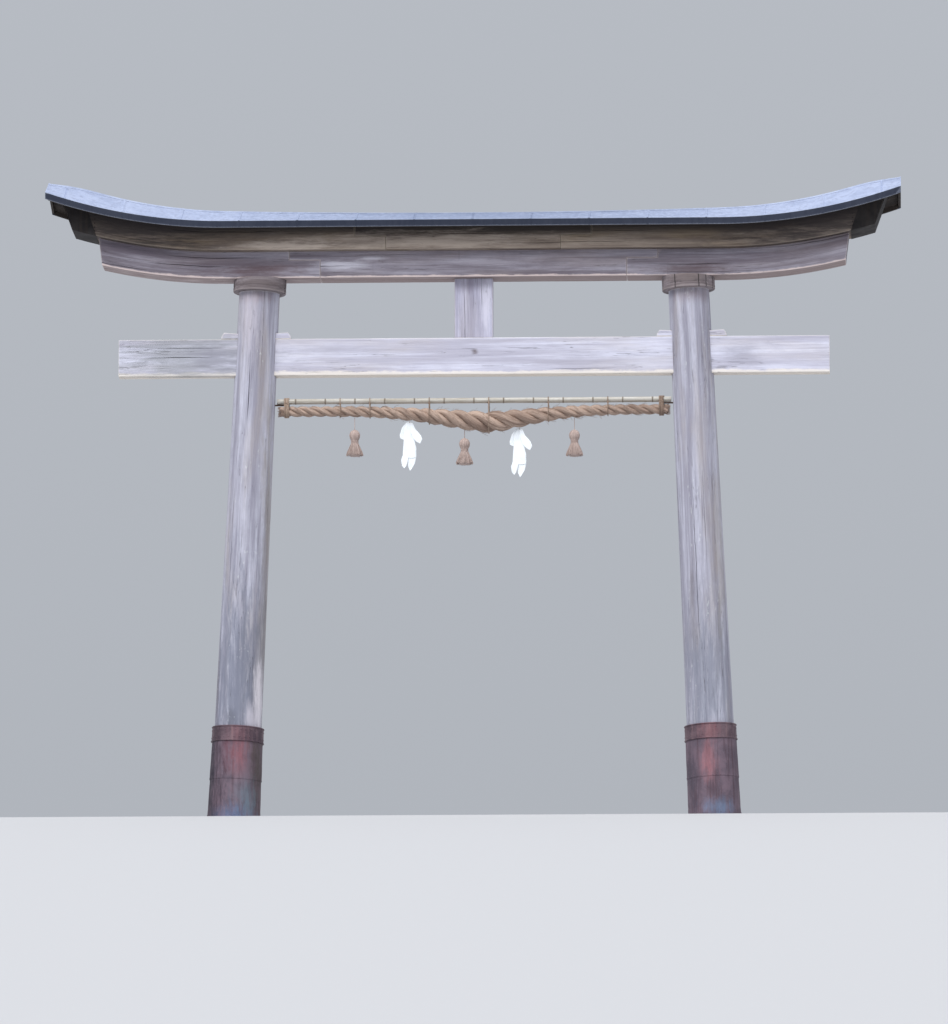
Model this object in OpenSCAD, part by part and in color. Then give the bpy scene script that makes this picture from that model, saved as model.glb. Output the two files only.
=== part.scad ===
// A timber shrine gate: two leaning columns, a wedged tie beam, a double lintel
// that sweeps up at its ends under a low metal roof, and a straw rope on a pole.
// Millimetres. The front faces -Y, and the origin is the middle of the left column's foot.

/* [Columns] */
// Distance between the column centres at the ground
base_span = 4920; // [4400:10:5600]
// Column diameter at the ground
column_foot_d = 496; // [400:2:560]
// Column diameter at the shoulder under the cap ring
column_top_d = 420; // [340:2:480]
// Height of the shoulder at the column's axis
column_h = 5470; // [5000:10:6000]
// Inward lean of each column in degrees
column_lean = 2.6; // [1:0.1:3.5]
// Side of the square tenon on top of each column
tenon_w = 160; // [100:5:200]
// How far the column's tenon stands into the lower lintel
tenon_h = 140; // [80:5:180]

/* [Column foot wraps] */
// Height of the metal wrap along the column
wrap_h = 955; // [700:5:1200]
// Wall of the wrap at its top
wrap_top_t = 17; // [8:1:25]
// Wall of the wrap at the ground
wrap_foot_t = 27; // [17:1:40]
// Height of the hoop band round the top of the wrap
band_h = 160; // [80:5:220]
// Thickness of the hoop band
band_t = 5; // [3:1:8]
// Radius of the rolled beads along both edges of the band
bead_r = 7; // [5:1:12]

/* [Cap rings] */
// Diameter of the cap ring
ring_d = 546; // [520:2:620]
// Height of the cap ring at the column's axis
ring_h = 136; // [90:2:180]
// Bevel round the lower edge of the ring
ring_bevel = 10; // [4:1:20]

/* [Tie beam] */
// Length of the tie beam
tie_l = 7320; // [6600:10:8000]
// Height of the tie beam
tie_h = 384; // [300:2:440]
// Thickness of the tie beam
tie_t = 170; // [130:2:200]
// Height of the shoulders above the tie beam's underside
tie_drop = 870; // [820:10:1100]
// How far each wedge stands out of the column
wedge_out = 150; // [90:5:220]
// Height of a wedge where it enters the column
wedge_h = 60; // [40:2:80]
// Height of a wedge at its thin end inside the column
wedge_tip_h = 44; // [20:2:50]

/* [Centre strut] */
// Width of the strut between tie beam and lintel
strut_w = 396; // [300:2:460]
// Thickness of the strut
strut_t = 140; // [100:2:180]
// Length of the tenons at both ends of the strut
strut_tenon = 70; // [40:5:100]

/* [Lintels] */
// Distance from the upper lintel's end back to the lower one's, along their undersides
lower_in = 300; // [290:10:500]
// Height of the lower lintel
lower_h = 280; // [240:2:340]
// Thickness of the lower lintel
lower_t = 320; // [280:2:380]
// Slant of the lower lintel's ends in degrees
lower_rake = 7; // [0:1:15]
// Half length of the upper lintel at its underside
upper_half = 4130; // [4050:10:4180]
// Thickness of the upper lintel
upper_t = 500; // [400:2:560]
// Slant of the upper lintel's ends in degrees
upper_rake = 20; // [10:1:22]
// Distance from a column's shoulder inwards to the lower lintel's splice
splice_in = 634; // [500:2:900]
// Distance from the middle of the gate to the upper lintel's splice
upper_splice = 900; // [600:10:1100]
// Length of the lap in each splice
lap_l = 320; // [200:10:400]
// Width of the dark metal caps on the upper lintel's ends
cap_w = 245; // [150:5:250]
// Sheet thickness of the end caps
cap_t = 4; // [2:1:8]

/* [Upward sweep] */
// Distance from the middle of the gate at which the sweep starts
sweep_start = 2550; // [2500:10:2900]
// Radius of the sweep
sweep_r = 5600; // [4800:50:9000]

/* [Roof] */
// How far the roof reaches beyond each end of the upper lintel's underside
roof_out = 270; // [260:5:400]
// Distance from the middle plane to the roof's front and back edges
roof_reach = 440; // [360:5:520]
// Height of the eave's top edge above the upper lintel's underside, in the middle
eave_above = 272; // [250:2:340]
// Height of the ridge above the eaves, in the middle
ridge_above = 145; // [100:5:220]
// Extra height of the ridge one metre out, which grows with the square of the distance
ridge_gain = 5.2; // [0:0.1:8]
// Length of the stretch at each end in which the ridge line levels off
verge_l = 500; // [300:10:700]
// How far the ridge line has dropped at the roof's ends
verge_dip = 78; // [0:2:100]
// Height of the fascia boards
fascia_h = 72; // [55:1:110]
// Thickness of the fascia boards and of the barge boards
fascia_t = 28; // [18:1:40]
// Thickness of the roof deck
deck_t = 34; // [24:1:45]
// Thickness of the roof sheets
sheet_t = 4; // [2:1:6]
// Height of the barge boards at the roof's ends
barge_h = 118; // [80:2:160]
// Width of the ridge cap
ridge_cap_w = 90; // [50:2:140]
// Thickness of the ridge cap
ridge_cap_t = 5; // [3:1:10]

/* [Pole and rope] */
// Diameter of the bamboo pole
pole_d = 58; // [40:1:70]
// Distance from the tie beam's underside down to the pole's axis
pole_drop = 260; // [180:5:350]
// Distance between the bamboo's joints
bamboo_joint = 306; // [200:2:400]
// Side of the square iron nails that carry the pole
nail_w = 16; // [12:1:20]
// How far a nail stands out of its column
nail_out = 130; // [90:5:180]
// How far a nail is driven into its column
nail_in = 90; // [50:5:120]
// Thickness of the straw lashings
lashing_t = 9; // [6:1:14]
// Distance from each end of the pole to the rope's end
rope_inset = 29; // [10:1:120]
// Clear gap between the pole's nails and the rope below them
rope_clear = 2.7; // [1:0.1:40]
// How far the rope hangs below its ends at its lowest place
rope_sag = 120; // [40:2:160]
// How far the rope's lowest place is to the right of the gate's middle
rope_low_x = 150; // [-300:10:300]
// Radius of the straw rope at its ends
rope_end_r = 56; // [40:1:70]
// Radius of the straw rope at its lowest place
rope_mid_r = 116; // [80:1:130]
// Width of the straw ties that hang the rope from the pole
tie_w = 12; // [8:1:24]
// Width of the lashing at each end of the rope
end_lashing_w = 60; // [40:1:90]
// Distance between the places from which tassels and streamers hang
hang_step = 565; // [450:5:600]
// How far the middle tassel hangs to the left of the gate's middle
hang_left = 97; // [-150:1:150]
// Radius of the strings of the tassels and streamers
string_r = 5; // [3:0.5:8]
// How far below the rope's axis a tassel's string ends
tassel_drop = 195; // [150:5:240]
// Width of a straw tassel's skirt
tassel_d = 186; // [140:2:220]
// Height of a tassel without its string
tassel_h = 272; // [220:2:320]
// Width of a paper streamer's body
streamer_w = 146; // [110:2:170]
// Length of a paper streamer
streamer_l = 515; // [420:5:640]
// Thickness of a folded streamer
streamer_t = 4; // [2:1:6]

/* [Fits] */
// Clearance between pieces that bear on each other along a curve
seat = 0.3; // [0.2:0.1:0.5]
// Clearance round each tenon in its mortise
tenon_gap = 0.5; // [0.3:0.1:1]

/* [Hidden] */

$fn = 64;

timber = "#8d8a90";
pale_timber = "#a5a3ab";
brown_timber = "#7c726b";
dark_metal = "#343a4a";
roof_metal = "#a9adc0";
wrap_metal = "#6d5a66";
iron = "#3a3634";
bamboo = "#b9b5aa";
straw = "#a58f76";
paper = "#f2f4f8";

half_span = base_span / 2;
head_z = column_h + ring_h;
lower_top_z = head_z + lower_h;
upper_z = lower_top_z + seat;
eave_z = upper_z + eave_above;
tie_z = column_h - tie_drop;
tie_top_z = tie_z + tie_h;
pole_z = tie_z - pole_drop;
lower_half = upper_half - lower_in;
roof_half = upper_half + roof_out;

// Axis of the left column, and the column's radius a distance s along that axis
column_len = column_h / cos(column_lean);
column_taper = (column_foot_d - column_top_d) / 2 / column_len;
shoulder_x = -half_span + column_h * tan(column_lean);
function column_r(s) = column_foot_d / 2 - column_taper * s;
function axis_x(z) = -half_span + z * tan(column_lean);

lower_splice = -shoulder_x - splice_in;
pole_half = -axis_x(pole_z) - column_r(pole_z) - nail_w;
rope_half = pole_half - rope_inset;
rope_end_z = nail_z() - rope_clear - rope_end_r;

// Cuts reach this far past the pieces that they cut
past = 60;

// Upward sweep that the lintels and the roof share: level in the middle, then an arc
function rise(x) =
  let (u = max(0, abs(x) - sweep_start)) sweep_r - sqrt(sweep_r * sweep_r - u * u);

// Height of the ridge above the eaves: it grows outwards and levels off at the verges.
// Over the barge boards it stays the same, so that their tops are plane.
function gable_h(x) =
  let (
    inner = min(abs(x), board_end), out = inner / 1000,
    u = max(0, inner - roof_half + verge_l) / verge_l
  )
  ridge_above + ridge_gain * out * out - verge_dip * u * u;

// Top of the roof at x and y
function roof_top(x, y) =
  eave_z + rise(x) + gable_h(x) * (roof_reach - abs(y)) / roof_reach;

// Underside of the deck, where it lies on the upper lintel
function deck_under(x, y) = roof_top(x, y) - sheet_t - seat - deck_t;

// Stations that all swept pieces share, from the middle of the gate to the roof's end:
// far apart on the level stretch and close together on the sweep
level_step = 425;
sweep_step = 110;
board_end = roof_half - fascia_t - seat;
grid = concat(
  [for (x = 0; x < sweep_start - level_step / 3; x = x + level_step) x],
  [for (x = sweep_start; x < board_end - sweep_step / 3; x = x + sweep_step) x],
  [board_end, roof_half]
);

// The stations of a piece between a and b, with the next one beyond each of them
function side_stations(a, b) = [
  for (i = [0:len(grid) - 1])
    if ((i == len(grid) - 1 || grid[i + 1] > a) && (i == 0 || grid[i - 1] < b)) grid[i]
];
function mirrored(list) = [for (i = [len(list) - 1:-1:0]) -list[i]];
function full_stations(b) = concat(
  mirrored([for (x = grid) if (x > 0 && x <= b) x]), [for (x = grid) if (x <= b) x]
);

// Solid through the cross sections that a function gives at each station.
// A section's points run anticlockwise as seen from +X, out along one side and back along the
// other, so its end is closed by cells between the two.
// Each cell of a warped face is split from its outer edge's far end to its inner edge's near
// end, so faces that lie on each other split alike, on the left and on the right.
module loft(stations, section) {
  n = len(section(stations[0]));
  last = len(stations) - 1;
  ys = [for (p = section(stations[0])) abs(p[0])];
  sides = [
    for (i = [0:last - 1]) for (j = [0:n - 1])
      let (
        a = i * n + j, b = i * n + (j + 1) % n,
        on_right = stations[i] + stations[i + 1] > 0,
        outwards = ys[(j + 1) % n] > ys[j]
      )
      each on_right == outwards
        ? [[a, a + n, b + n], [a, b + n, b]]
        : [[a, a + n, b], [a + n, b + n, b]]
  ];
  half = floor(n / 2);
  cells = concat(
    [for (j = [0:half - 2]) [j, j + 1, n - 2 - j, n - 1 - j]],
    n % 2 == 1 ? [[half - 1, half, half + 1]] : []
  );
  far_cells = [for (c = cells) [for (j = [len(c) - 1:-1:0]) last * n + c[j]]];
  polyhedron(
    points = [for (x = stations) for (p = section(x)) [x, p[0], p[1]]],
    faces = concat(sides, cells, far_cells)
  );
}

// Everything is drawn about the middle of the gate and set out from the left foot here
module set_out() {
  translate([half_span, 0, 0]) children();
}

module on_side(side) {
  if (side == "left") children();
  else mirror([1, 0, 0]) children();
}

// Puts a shape drawn along +Z onto the left column's axis
module on_column_axis() {
  translate([-half_span, 0, 0]) rotate([0, column_lean, 0]) children();
}

module above_ground() {
  size = 4 * half_span;
  intersection() {
    children();
    translate([-size, -size / 2, 0]) cube([2 * size, size, size]);
  }
}

// Outline in elevation of the slot for the tie beam and its wedges, both sides of x
module wedge_slot(x) {
  reach = column_foot_d;
  slope = (wedge_h - wedge_tip_h) / (column_top_d / 2);
  outer_z = tie_top_z + wedge_tip_h + slope * reach;
  polygon([
    [x - reach, tie_z], [x + reach, tie_z], [x + reach, outer_z],
    [x, tie_top_z + wedge_tip_h], [x - reach, outer_z]
  ]);
}

// Extrudes an outline drawn in elevation to a thickness, centred on the middle plane
module elevation(thick) {
  translate([0, thick / 2, 0]) rotate([90, 0, 0]) linear_extrude(thick) children();
}

// Underside of the nail that carries the pole's end, and the column's face at that height
function nail_z() = pole_z - pole_d / 2 - seat - nail_w;
function nail_face() = axis_x(nail_z()) + column_r(nail_z());

module nail_hole() {
  w = nail_w + 2 * tenon_gap;
  depth = column_foot_d / 2;
  z = nail_z();
  translate([nail_face() - nail_in, -w / 2, z - tenon_gap]) cube([depth, w, w]);
}

module column() {
  tie_x = axis_x(tie_z + tie_h / 2);
  difference() {
    union() {
      above_ground() on_column_axis() translate([0, 0, -past])
        cylinder(h = column_len + past, r1 = column_r(-past), r2 = column_top_d / 2);
      translate([shoulder_x - tenon_w / 2, -tenon_w / 2, column_h - past])
        cube([tenon_w, tenon_w, past + ring_h + tenon_h]);
    }
    elevation(tie_t + 2 * tenon_gap) wedge_slot(tie_x);
    nail_hole();
  }
}

module left_column() {
  color(timber) set_out() column();
}

module right_column() {
  color(timber) set_out() on_side("right") column();
}

module foot_wrap() {
  above_ground() on_column_axis() difference() {
    translate([0, 0, -past])
      cylinder(
        h = wrap_h + past,
        r1 = column_r(-past) + wrap_foot_t,
        r2 = column_r(wrap_h) + wrap_top_t
      );
    translate([0, 0, -2 * past])
      cylinder(
        h = wrap_h + 3 * past,
        r1 = column_r(-2 * past) + seat,
        r2 = column_r(wrap_h + past) + seat
      );
  }
}

module left_foot_wrap() {
  color(wrap_metal) set_out() foot_wrap();
}

module right_foot_wrap() {
  color(wrap_metal) set_out() on_side("right") foot_wrap();
}

// Outer radius of the wrap a distance s along the column's axis
function wrap_r(s) =
  let (part = (s + past) / (wrap_h + past))
  (column_r(-past) + wrap_foot_t) * (1 - part) + (column_r(wrap_h) + wrap_top_t) * part;

// Half round of a bead on the band, centred a distance s along the column's axis
function bead(s) = [
  for (i = [0:8]) let (a = 180 * i / 8 - 90)
  [wrap_r(s) + seat + band_t + bead_r * cos(a), s + bead_r * sin(a)]
];

module wrap_band() {
  low = wrap_h - band_h;
  on_column_axis() rotate_extrude() polygon(concat(
    [[wrap_r(low) + seat, low]], bead(low + bead_r), bead(wrap_h - bead_r),
    [[wrap_r(wrap_h) + seat, wrap_h]]
  ));
}

module left_wrap_band() {
  color(wrap_metal) set_out() wrap_band();
}

module right_wrap_band() {
  color(wrap_metal) set_out() on_side("right") wrap_band();
}

// The ring lies square on the leaning shoulder and its top is planed level for the lintel
module cap_ring() {
  hole_w = tenon_w + 2 * tenon_gap;
  ring_r = ring_d / 2;
  difference() {
    on_column_axis() translate([0, 0, column_len]) rotate_extrude() polygon([
      [0, 0], [ring_r - ring_bevel, 0], [ring_r, ring_bevel], [ring_r, ring_h + past],
      [0, ring_h + past]
    ]);
    translate([shoulder_x - ring_d, -ring_d, head_z]) cube([2 * ring_d, 2 * ring_d, 2 * past]);
    translate([shoulder_x - hole_w / 2, -hole_w / 2, column_h - past])
      cube([hole_w, hole_w, ring_h + 2 * past]);
  }
}

module left_cap_ring() {
  color(brown_timber) set_out() cap_ring();
}

module right_cap_ring() {
  color(brown_timber) set_out() on_side("right") cap_ring();
}

module tie_beam() {
  tenon_l = strut_w / 2;
  color(pale_timber) set_out() difference() {
    translate([-tie_l / 2, -tie_t / 2, tie_z]) cube([tie_l, tie_t, tie_h]);
    translate([-tenon_l / 2 - tenon_gap, -strut_t / 4 - tenon_gap, tie_top_z - strut_tenon - tenon_gap])
      cube([tenon_l + 2 * tenon_gap, strut_t / 2 + 2 * tenon_gap, strut_tenon + past]);
  }
}

// One wedge, driven in on top of the tie beam from the side away from the middle of the gate
module wedge(outwards) {
  tie_x = axis_x(tie_z + tie_h / 2);
  slope = (wedge_h - wedge_tip_h) / (column_top_d / 2);
  length = column_top_d / 2 + wedge_out;
  nose = wedge_h / 2;
  high = wedge_tip_h + slope * length - seat;
  translate([tie_x, 0, tie_top_z]) mirror([outwards ? 1 : 0, 0, 0]) elevation(tie_t) polygon([
    [seat, 0], [length, 0], [length, high / 3], [length - nose, high - slope * nose],
    [seat, wedge_tip_h - seat]
  ]);
}

module left_outer_wedge() {
  color(pale_timber) set_out() wedge(true);
}

module left_inner_wedge() {
  color(pale_timber) set_out() wedge(false);
}

module right_inner_wedge() {
  color(pale_timber) set_out() on_side("right") wedge(false);
}

module right_outer_wedge() {
  color(pale_timber) set_out() on_side("right") wedge(true);
}

module centre_strut() {
  tenon_l = strut_w / 2;
  color(pale_timber) set_out() union() {
    translate([-strut_w / 2, -strut_t / 2, tie_top_z]) cube([strut_w, strut_t, head_z - tie_top_z]);
    translate([-tenon_l / 2, -strut_t / 4, tie_top_z - strut_tenon])
      cube([tenon_l, strut_t / 2, head_z - tie_top_z + 2 * strut_tenon]);
  }
}

// Elevation of a swept beam from the middle to its half length, between two heights
module swept_outline(half, z_low, z_high) {
  xs = side_stations(0, half);
  polygon(concat(
    [for (x = xs) [-x, z_low + rise(x)]],
    [for (i = [len(xs) - 1:-1:0]) [-xs[i], z_high + rise(xs[i])]]
  ));
}

// Takes away what lies beyond a slanted end that passes through x at the height z
module slanted_end(x, z, rake) {
  size = half_span;
  translate([-x, 0, z]) rotate([0, -rake, 0]) translate([-size, -size / 2, -size / 2])
    cube([size, size, size]);
}

// The side piece's lower tongue carries the middle piece's upper tongue
lower_lap_z = head_z + lower_h * 2 / 3;
upper_lap_z = upper_z + eave_above / 2;

module lower_lintel_side() {
  hole_w = tenon_w + 2 * tenon_gap;
  end_x = lower_half + (lower_h + past) * tan(lower_rake);
  difference() {
    elevation(lower_t) swept_outline(end_x, head_z, lower_top_z);
    slanted_end(lower_half, head_z + rise(lower_half), lower_rake);
    translate([-lower_splice, -lower_t, head_z - past])
      cube([2 * lower_splice, 2 * lower_t, lower_h + 2 * past]);
    translate([-lower_splice - lap_l, -lower_t, lower_lap_z])
      cube([2 * lower_splice, 2 * lower_t, lower_h]);
    translate([shoulder_x - hole_w / 2, -hole_w / 2, head_z - past])
      cube([hole_w, hole_w, past + tenon_h + tenon_gap]);
  }
}

module lower_lintel_left() {
  color(timber) set_out() lower_lintel_side();
}

module lower_lintel_right() {
  color(timber) set_out() on_side("right") lower_lintel_side();
}

module lower_lintel_middle() {
  low_l = lower_splice - seat;
  high_l = lower_splice + lap_l - seat;
  tenon_l = strut_w / 2;
  color(timber) set_out() difference() {
    union() {
      translate([-low_l, -lower_t / 2, head_z]) cube([2 * low_l, lower_t, lower_h]);
      translate([-high_l, -lower_t / 2, lower_lap_z])
        cube([2 * high_l, lower_t, lower_top_z - lower_lap_z]);
    }
    translate([-tenon_l / 2 - tenon_gap, -strut_t / 4 - tenon_gap, head_z - past])
      cube([tenon_l + 2 * tenon_gap, strut_t / 2 + 2 * tenon_gap, past + strut_tenon + tenon_gap]);
  }
}

// Cross section of the upper lintel: upright faces under a top that follows the roof
function upper_section(x) = [
  [-upper_t / 2, upper_z + rise(x)], [upper_t / 2, upper_z + rise(x)],
  [upper_t / 2, deck_under(x, upper_t / 2) - seat], [0, deck_under(x, 0) - seat],
  [-upper_t / 2, deck_under(x, upper_t / 2) - seat]
];

module upper_lintel_side() {
  tall = roof_half;
  end_x = board_end - past;
  difference() {
    loft(mirrored(side_stations(upper_splice, end_x)), function(x) upper_section(x));
    slanted_end(upper_half, upper_z + rise(upper_half), upper_rake);
    translate([-upper_splice, -upper_t, upper_z - past]) cube([tall, 2 * upper_t, tall]);
    translate([-upper_splice - lap_l, -upper_t, upper_lap_z]) cube([tall, 2 * upper_t, tall]);
  }
}

module upper_lintel_left() {
  color(brown_timber) set_out() upper_lintel_side();
}

module upper_lintel_right() {
  color(brown_timber) set_out() on_side("right") upper_lintel_side();
}

module upper_lintel_middle() {
  low_l = upper_splice - seat;
  high_l = upper_splice + lap_l - seat;
  color(brown_timber) set_out() intersection() {
    loft(full_stations(sweep_start), function(x) upper_section(x));
    union() {
      translate([-low_l, -upper_t, upper_z]) cube([2 * low_l, 2 * upper_t, 2 * eave_above]);
      translate([-high_l, -upper_t, upper_lap_z]) cube([2 * high_l, 2 * upper_t, 2 * eave_above]);
    }
  }
}

// Sheet cap on an end of the upper lintel: front, back and bottom plates and a slanted plate.
// Its top edges stay clear of the roof deck.
module end_cap() {
  cells = 4;
  deck_gap = 2;
  y_in = upper_t / 2 + seat;
  y_out = y_in + cap_t;
  z_end = upper_z + rise(upper_half);
  x_in = upper_half - cap_w;
  x_top = upper_half + (deck_under(upper_half, y_out) - z_end) * tan(upper_rake);
  low = [
    for (i = [0:cells]) let (x = x_in + cap_w * i / cells)
    [-x, upper_z + rise(x) - seat]
  ];
  below = [for (i = [cells:-1:0]) low[i] - [0, cap_t]];
  high = [
    for (i = [0:cells]) let (x = x_top - cap_w * i / cells)
    [-x, deck_under(x, y_out) - deck_gap]
  ];
  corner_h = (deck_under(x_top, y_out) - z_end - deck_gap) / cos(upper_rake) - cap_t;
  gable = (deck_under(x_top, 0) - deck_under(x_top, y_out)) / cos(upper_rake);
  for (side = [-1, 1])
    translate([0, side * (y_in + cap_t / 2), 0]) elevation(cap_t) polygon(concat(low, high));
  elevation(2 * y_out) polygon(concat(low, below));
  translate([-upper_half - seat, 0, z_end]) rotate([0, -upper_rake, 0]) rotate([90, 0, -90])
    linear_extrude(cap_t) polygon([
      [-y_out, -cap_t - seat], [y_out, -cap_t - seat], [y_out, corner_h],
      [0, corner_h + gable], [-y_out, corner_h]
    ]);
}

module left_end_cap() {
  color(dark_metal) set_out() end_cap();
}

module right_end_cap() {
  color(dark_metal) set_out() on_side("right") end_cap();
}

// The front half of the roof, drawn at -Y, and its copy at the back
module roof_side(side) {
  set_out() mirror([0, side == "back" ? 1 : 0, 0]) children();
}

function board_top(x, y) = roof_top(x, y) - sheet_t - seat;

// Where the deck's edge meets the fascia
joint_y = -roof_reach + sheet_t + fascia_t + 1.5 * seat;

module roof_deck() {
  loft(full_stations(board_end), function(x) [
    [joint_y + seat / 2, deck_under(x, joint_y)], [-upper_t / 2, deck_under(x, upper_t / 2)],
    [-seat / 2, deck_under(x, 0)], [-seat / 2, board_top(x, 0)],
    [joint_y + seat / 2, board_top(x, joint_y)]
  ]);
}

module front_roof_deck() {
  color(brown_timber) roof_side("front") roof_deck();
}

module back_roof_deck() {
  color(brown_timber) roof_side("back") roof_deck();
}

module fascia() {
  y_out = -roof_reach + sheet_t + seat;
  y_in = joint_y - seat / 2;
  loft(full_stations(board_end), function(x) [
    [y_out, eave_z + rise(x) - fascia_h], [y_in, eave_z + rise(x) - fascia_h],
    [y_in, board_top(x, joint_y)], [y_out, board_top(x, y_out)]
  ]);
}

module front_fascia() {
  color(brown_timber) roof_side("front") fascia();
}

module back_fascia() {
  color(brown_timber) roof_side("back") fascia();
}

// Board that closes the roof's end below the sheets, cut to the slopes of the roof
module barge_board() {
  y_out = roof_reach - sheet_t - seat;
  loft([-roof_half, -board_end - seat], function(x) [
    [-y_out, board_top(x, y_out) - barge_h / 2], [0, board_top(x, 0) - barge_h],
    [y_out, board_top(x, y_out) - barge_h / 2], [y_out, board_top(x, y_out)],
    [0, board_top(x, 0)], [-y_out, board_top(x, y_out)]
  ]);
}

module left_barge_board() {
  color(brown_timber) set_out() barge_board();
}

module right_barge_board() {
  color(brown_timber) set_out() on_side("right") barge_board();
}

// Roof sheet: the slope, and the turned-down edge that covers the fascia
module roof_sheet() {
  y_in = -roof_reach + sheet_t;
  cap_y = -ridge_cap_w / 2;
  loft(full_stations(roof_half), function(x) [
    [y_in, eave_z + rise(x) - fascia_h], [y_in, roof_top(x, y_in) - sheet_t],
    [joint_y, roof_top(x, joint_y) - sheet_t], [-seat / 2, roof_top(x, 0) - sheet_t],
    [-seat / 2, roof_top(x, 0)], [cap_y, roof_top(x, cap_y)],
    [-roof_reach, roof_top(x, roof_reach)], [-roof_reach, eave_z + rise(x) - fascia_h]
  ]);
}

module front_roof_sheet() {
  color(roof_metal) roof_side("front") roof_sheet();
}

module back_roof_sheet() {
  color(roof_metal) roof_side("back") roof_sheet();
}

module ridge_cap() {
  y = ridge_cap_w / 2;
  color(roof_metal) set_out() loft(full_stations(roof_half), function(x) [
    [-y, roof_top(x, y) + seat], [0, roof_top(x, 0) + seat], [y, roof_top(x, y) + seat],
    [y, roof_top(x, y) + seat + ridge_cap_t], [0, roof_top(x, 0) + seat + ridge_cap_t],
    [-y, roof_top(x, y) + seat + ridge_cap_t]
  ]);
}

// Square forged nail under the pole's end, driven into the column's inner side
module pole_nail() {
  z = nail_z();
  face = nail_face();
  point = nail_w / 3;
  elevation(nail_w) polygon([
    [face - nail_in + tenon_gap, z + point], [face - nail_in + nail_w, z],
    [face + nail_out - point, z], [face + nail_out, z + point],
    [face + nail_out, z + nail_w - point], [face + nail_out - point, z + nail_w],
    [face - nail_in + nail_w, z + nail_w], [face - nail_in + tenon_gap, z + nail_w - point]
  ]);
}

module left_pole_nail() {
  color(iron) set_out() pole_nail();
}

module right_pole_nail() {
  color(iron) set_out() on_side("right") pole_nail();
}

// Bamboo pole with a raised joint every bamboo_joint, plain near its bevelled ends
module bamboo_pole() {
  r = pole_d / 2;
  swell = r / 10;
  plain_end = bamboo_joint / 2;
  count = floor((pole_half - plain_end) / bamboo_joint);
  joints = [
    for (i = [-count:count]) let (z = i * bamboo_joint)
    each [
      [r, z - 4 * swell], [r + swell, z - swell], [r + swell / 3, z], [r + swell, z + swell],
      [r, z + 4 * swell]
    ]
  ];
  color(bamboo) set_out() translate([0, 0, pole_z]) rotate([0, 90, 0]) rotate_extrude()
    polygon(concat(
      [[0, -pole_half], [r - swell, -pole_half], [r, -pole_half + swell]],
      joints,
      [[r, pole_half - swell], [r - swell, pole_half], [0, pole_half]]
    ));
}

// Points of an arc of the radius r about the height z
function arc(r, z, from, turn) =
  let (n = 12)
  [for (i = [0:n]) let (a = from + turn * i / n) [r * cos(a), z + r * sin(a)]];

// Outline round two circles, one above the other, as a belt lies on them
function belt(r_high, z_high, r_low, z_low) =
  let (tilt = asin((r_low - r_high) / (z_high - z_low)))
  concat(arc(r_high, z_high, tilt, 180 - 2 * tilt), arc(r_low, z_low, 180 - tilt, 180 + 2 * tilt));

// Straw lashing from the top circle to the low one, its turns side by side along x
module lashing(x, width, r_high, z_high, r_low, z_low) {
  gap = 3 * seat;
  translate([x - width / 2, 0, 0]) rotate([90, 0, 90]) linear_extrude(width) difference() {
    polygon(belt(r_high + gap + lashing_t, z_high, r_low + gap + lashing_t, z_low));
    polygon(belt(r_high + gap, z_high, r_low + gap, z_low));
  }
}

// How much the rope sags and swells: 1 at its lowest place, and 0 at both ends
function rope_bell(x) =
  let (off = x - rope_low_x)
  let (reach = rope_half - (off < 0 ? -rope_low_x : rope_low_x))
  pow((1 + cos(180 * pow(min(1, abs(off) / reach), 0.75))) / 2, 2);
function rope_z(x) = rope_end_z - rope_sag * rope_bell(x);
function rope_r(x) = rope_end_r + (rope_mid_r - rope_end_r) * rope_bell(x);

// Radius about the rope's axis at x that clears the sloping rope over this width
function rope_reach(x, width) = max([
  for (e = [-width / 2, 0, width / 2]) rope_r(x + e) + abs(rope_z(x + e) - rope_z(x))
]);

// Lashing at the rope's end, clear of the nail and the column
module pole_lashing(side) {
  x = (side == "left" ? -1 : 1) * (rope_half - 1.2 * end_lashing_w);
  color(straw) set_out()
    lashing(x, end_lashing_w, pole_d / 2, pole_z, rope_reach(x, end_lashing_w), rope_z(x));
}

module left_pole_lashing() {
  pole_lashing("left");
}

module right_pole_lashing() {
  pole_lashing("right");
}

module straw_rope() {
  sides = 12;
  rings = 40;
  color(straw) set_out() loft([for (i = [0:rings]) rope_half * (2 * i / rings - 1)], function(x) [
    for (k = [0:sides - 1]) let (a = 360 * k / sides)
      [rope_r(x) * cos(a), rope_z(x) + rope_r(x) * sin(a)]
  ]);
}

// Place of a hanging piece, counted from the middle tassel
function hang_x(k) = k * hang_step - hang_left;

// Each tie lies half way between two joints of the bamboo
tie_places = [
  for (k = [-2.5:1:2.5]) (round(hang_x(k) / bamboo_joint - 0.5) + 0.5) * bamboo_joint
];

module rope_ties() {
  color(straw) set_out() for (x = tie_places)
    lashing(x, tie_w, pole_d / 2, pole_z, rope_reach(x, tie_w), rope_z(x));
}

// Outline of a tassel below its string, as parts of its half width and of its height
tassel_outline = [
  [0, -1], [0.9, -1], [1, -0.97], [0.94, -0.86], [0.66, -0.68], [0.44, -0.54], [0.36, -0.46],
  [0.42, -0.38], [0.56, -0.28], [0.6, -0.18], [0.5, -0.08], [0.28, -0.01]
];

// Bell-shaped straw tassel on its string, which hangs from the rope's underside
module tassel(x) {
  top_z = rope_z(x) - tassel_drop;
  string_l = tassel_drop - rope_r(x) - seat;
  color(straw) set_out() translate([x, 0, top_z]) rotate_extrude() polygon(concat(
    [for (p = tassel_outline) [p[0] * tassel_d / 2, p[1] * tassel_h]],
    [[string_r, 0], [string_r, string_l], [0, string_l]]
  ));
}

module left_tassel() {
  tassel(hang_x(-2));
}

module middle_tassel() {
  tassel(hang_x(0));
}

module right_tassel() {
  tassel(hang_x(2));
}

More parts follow.
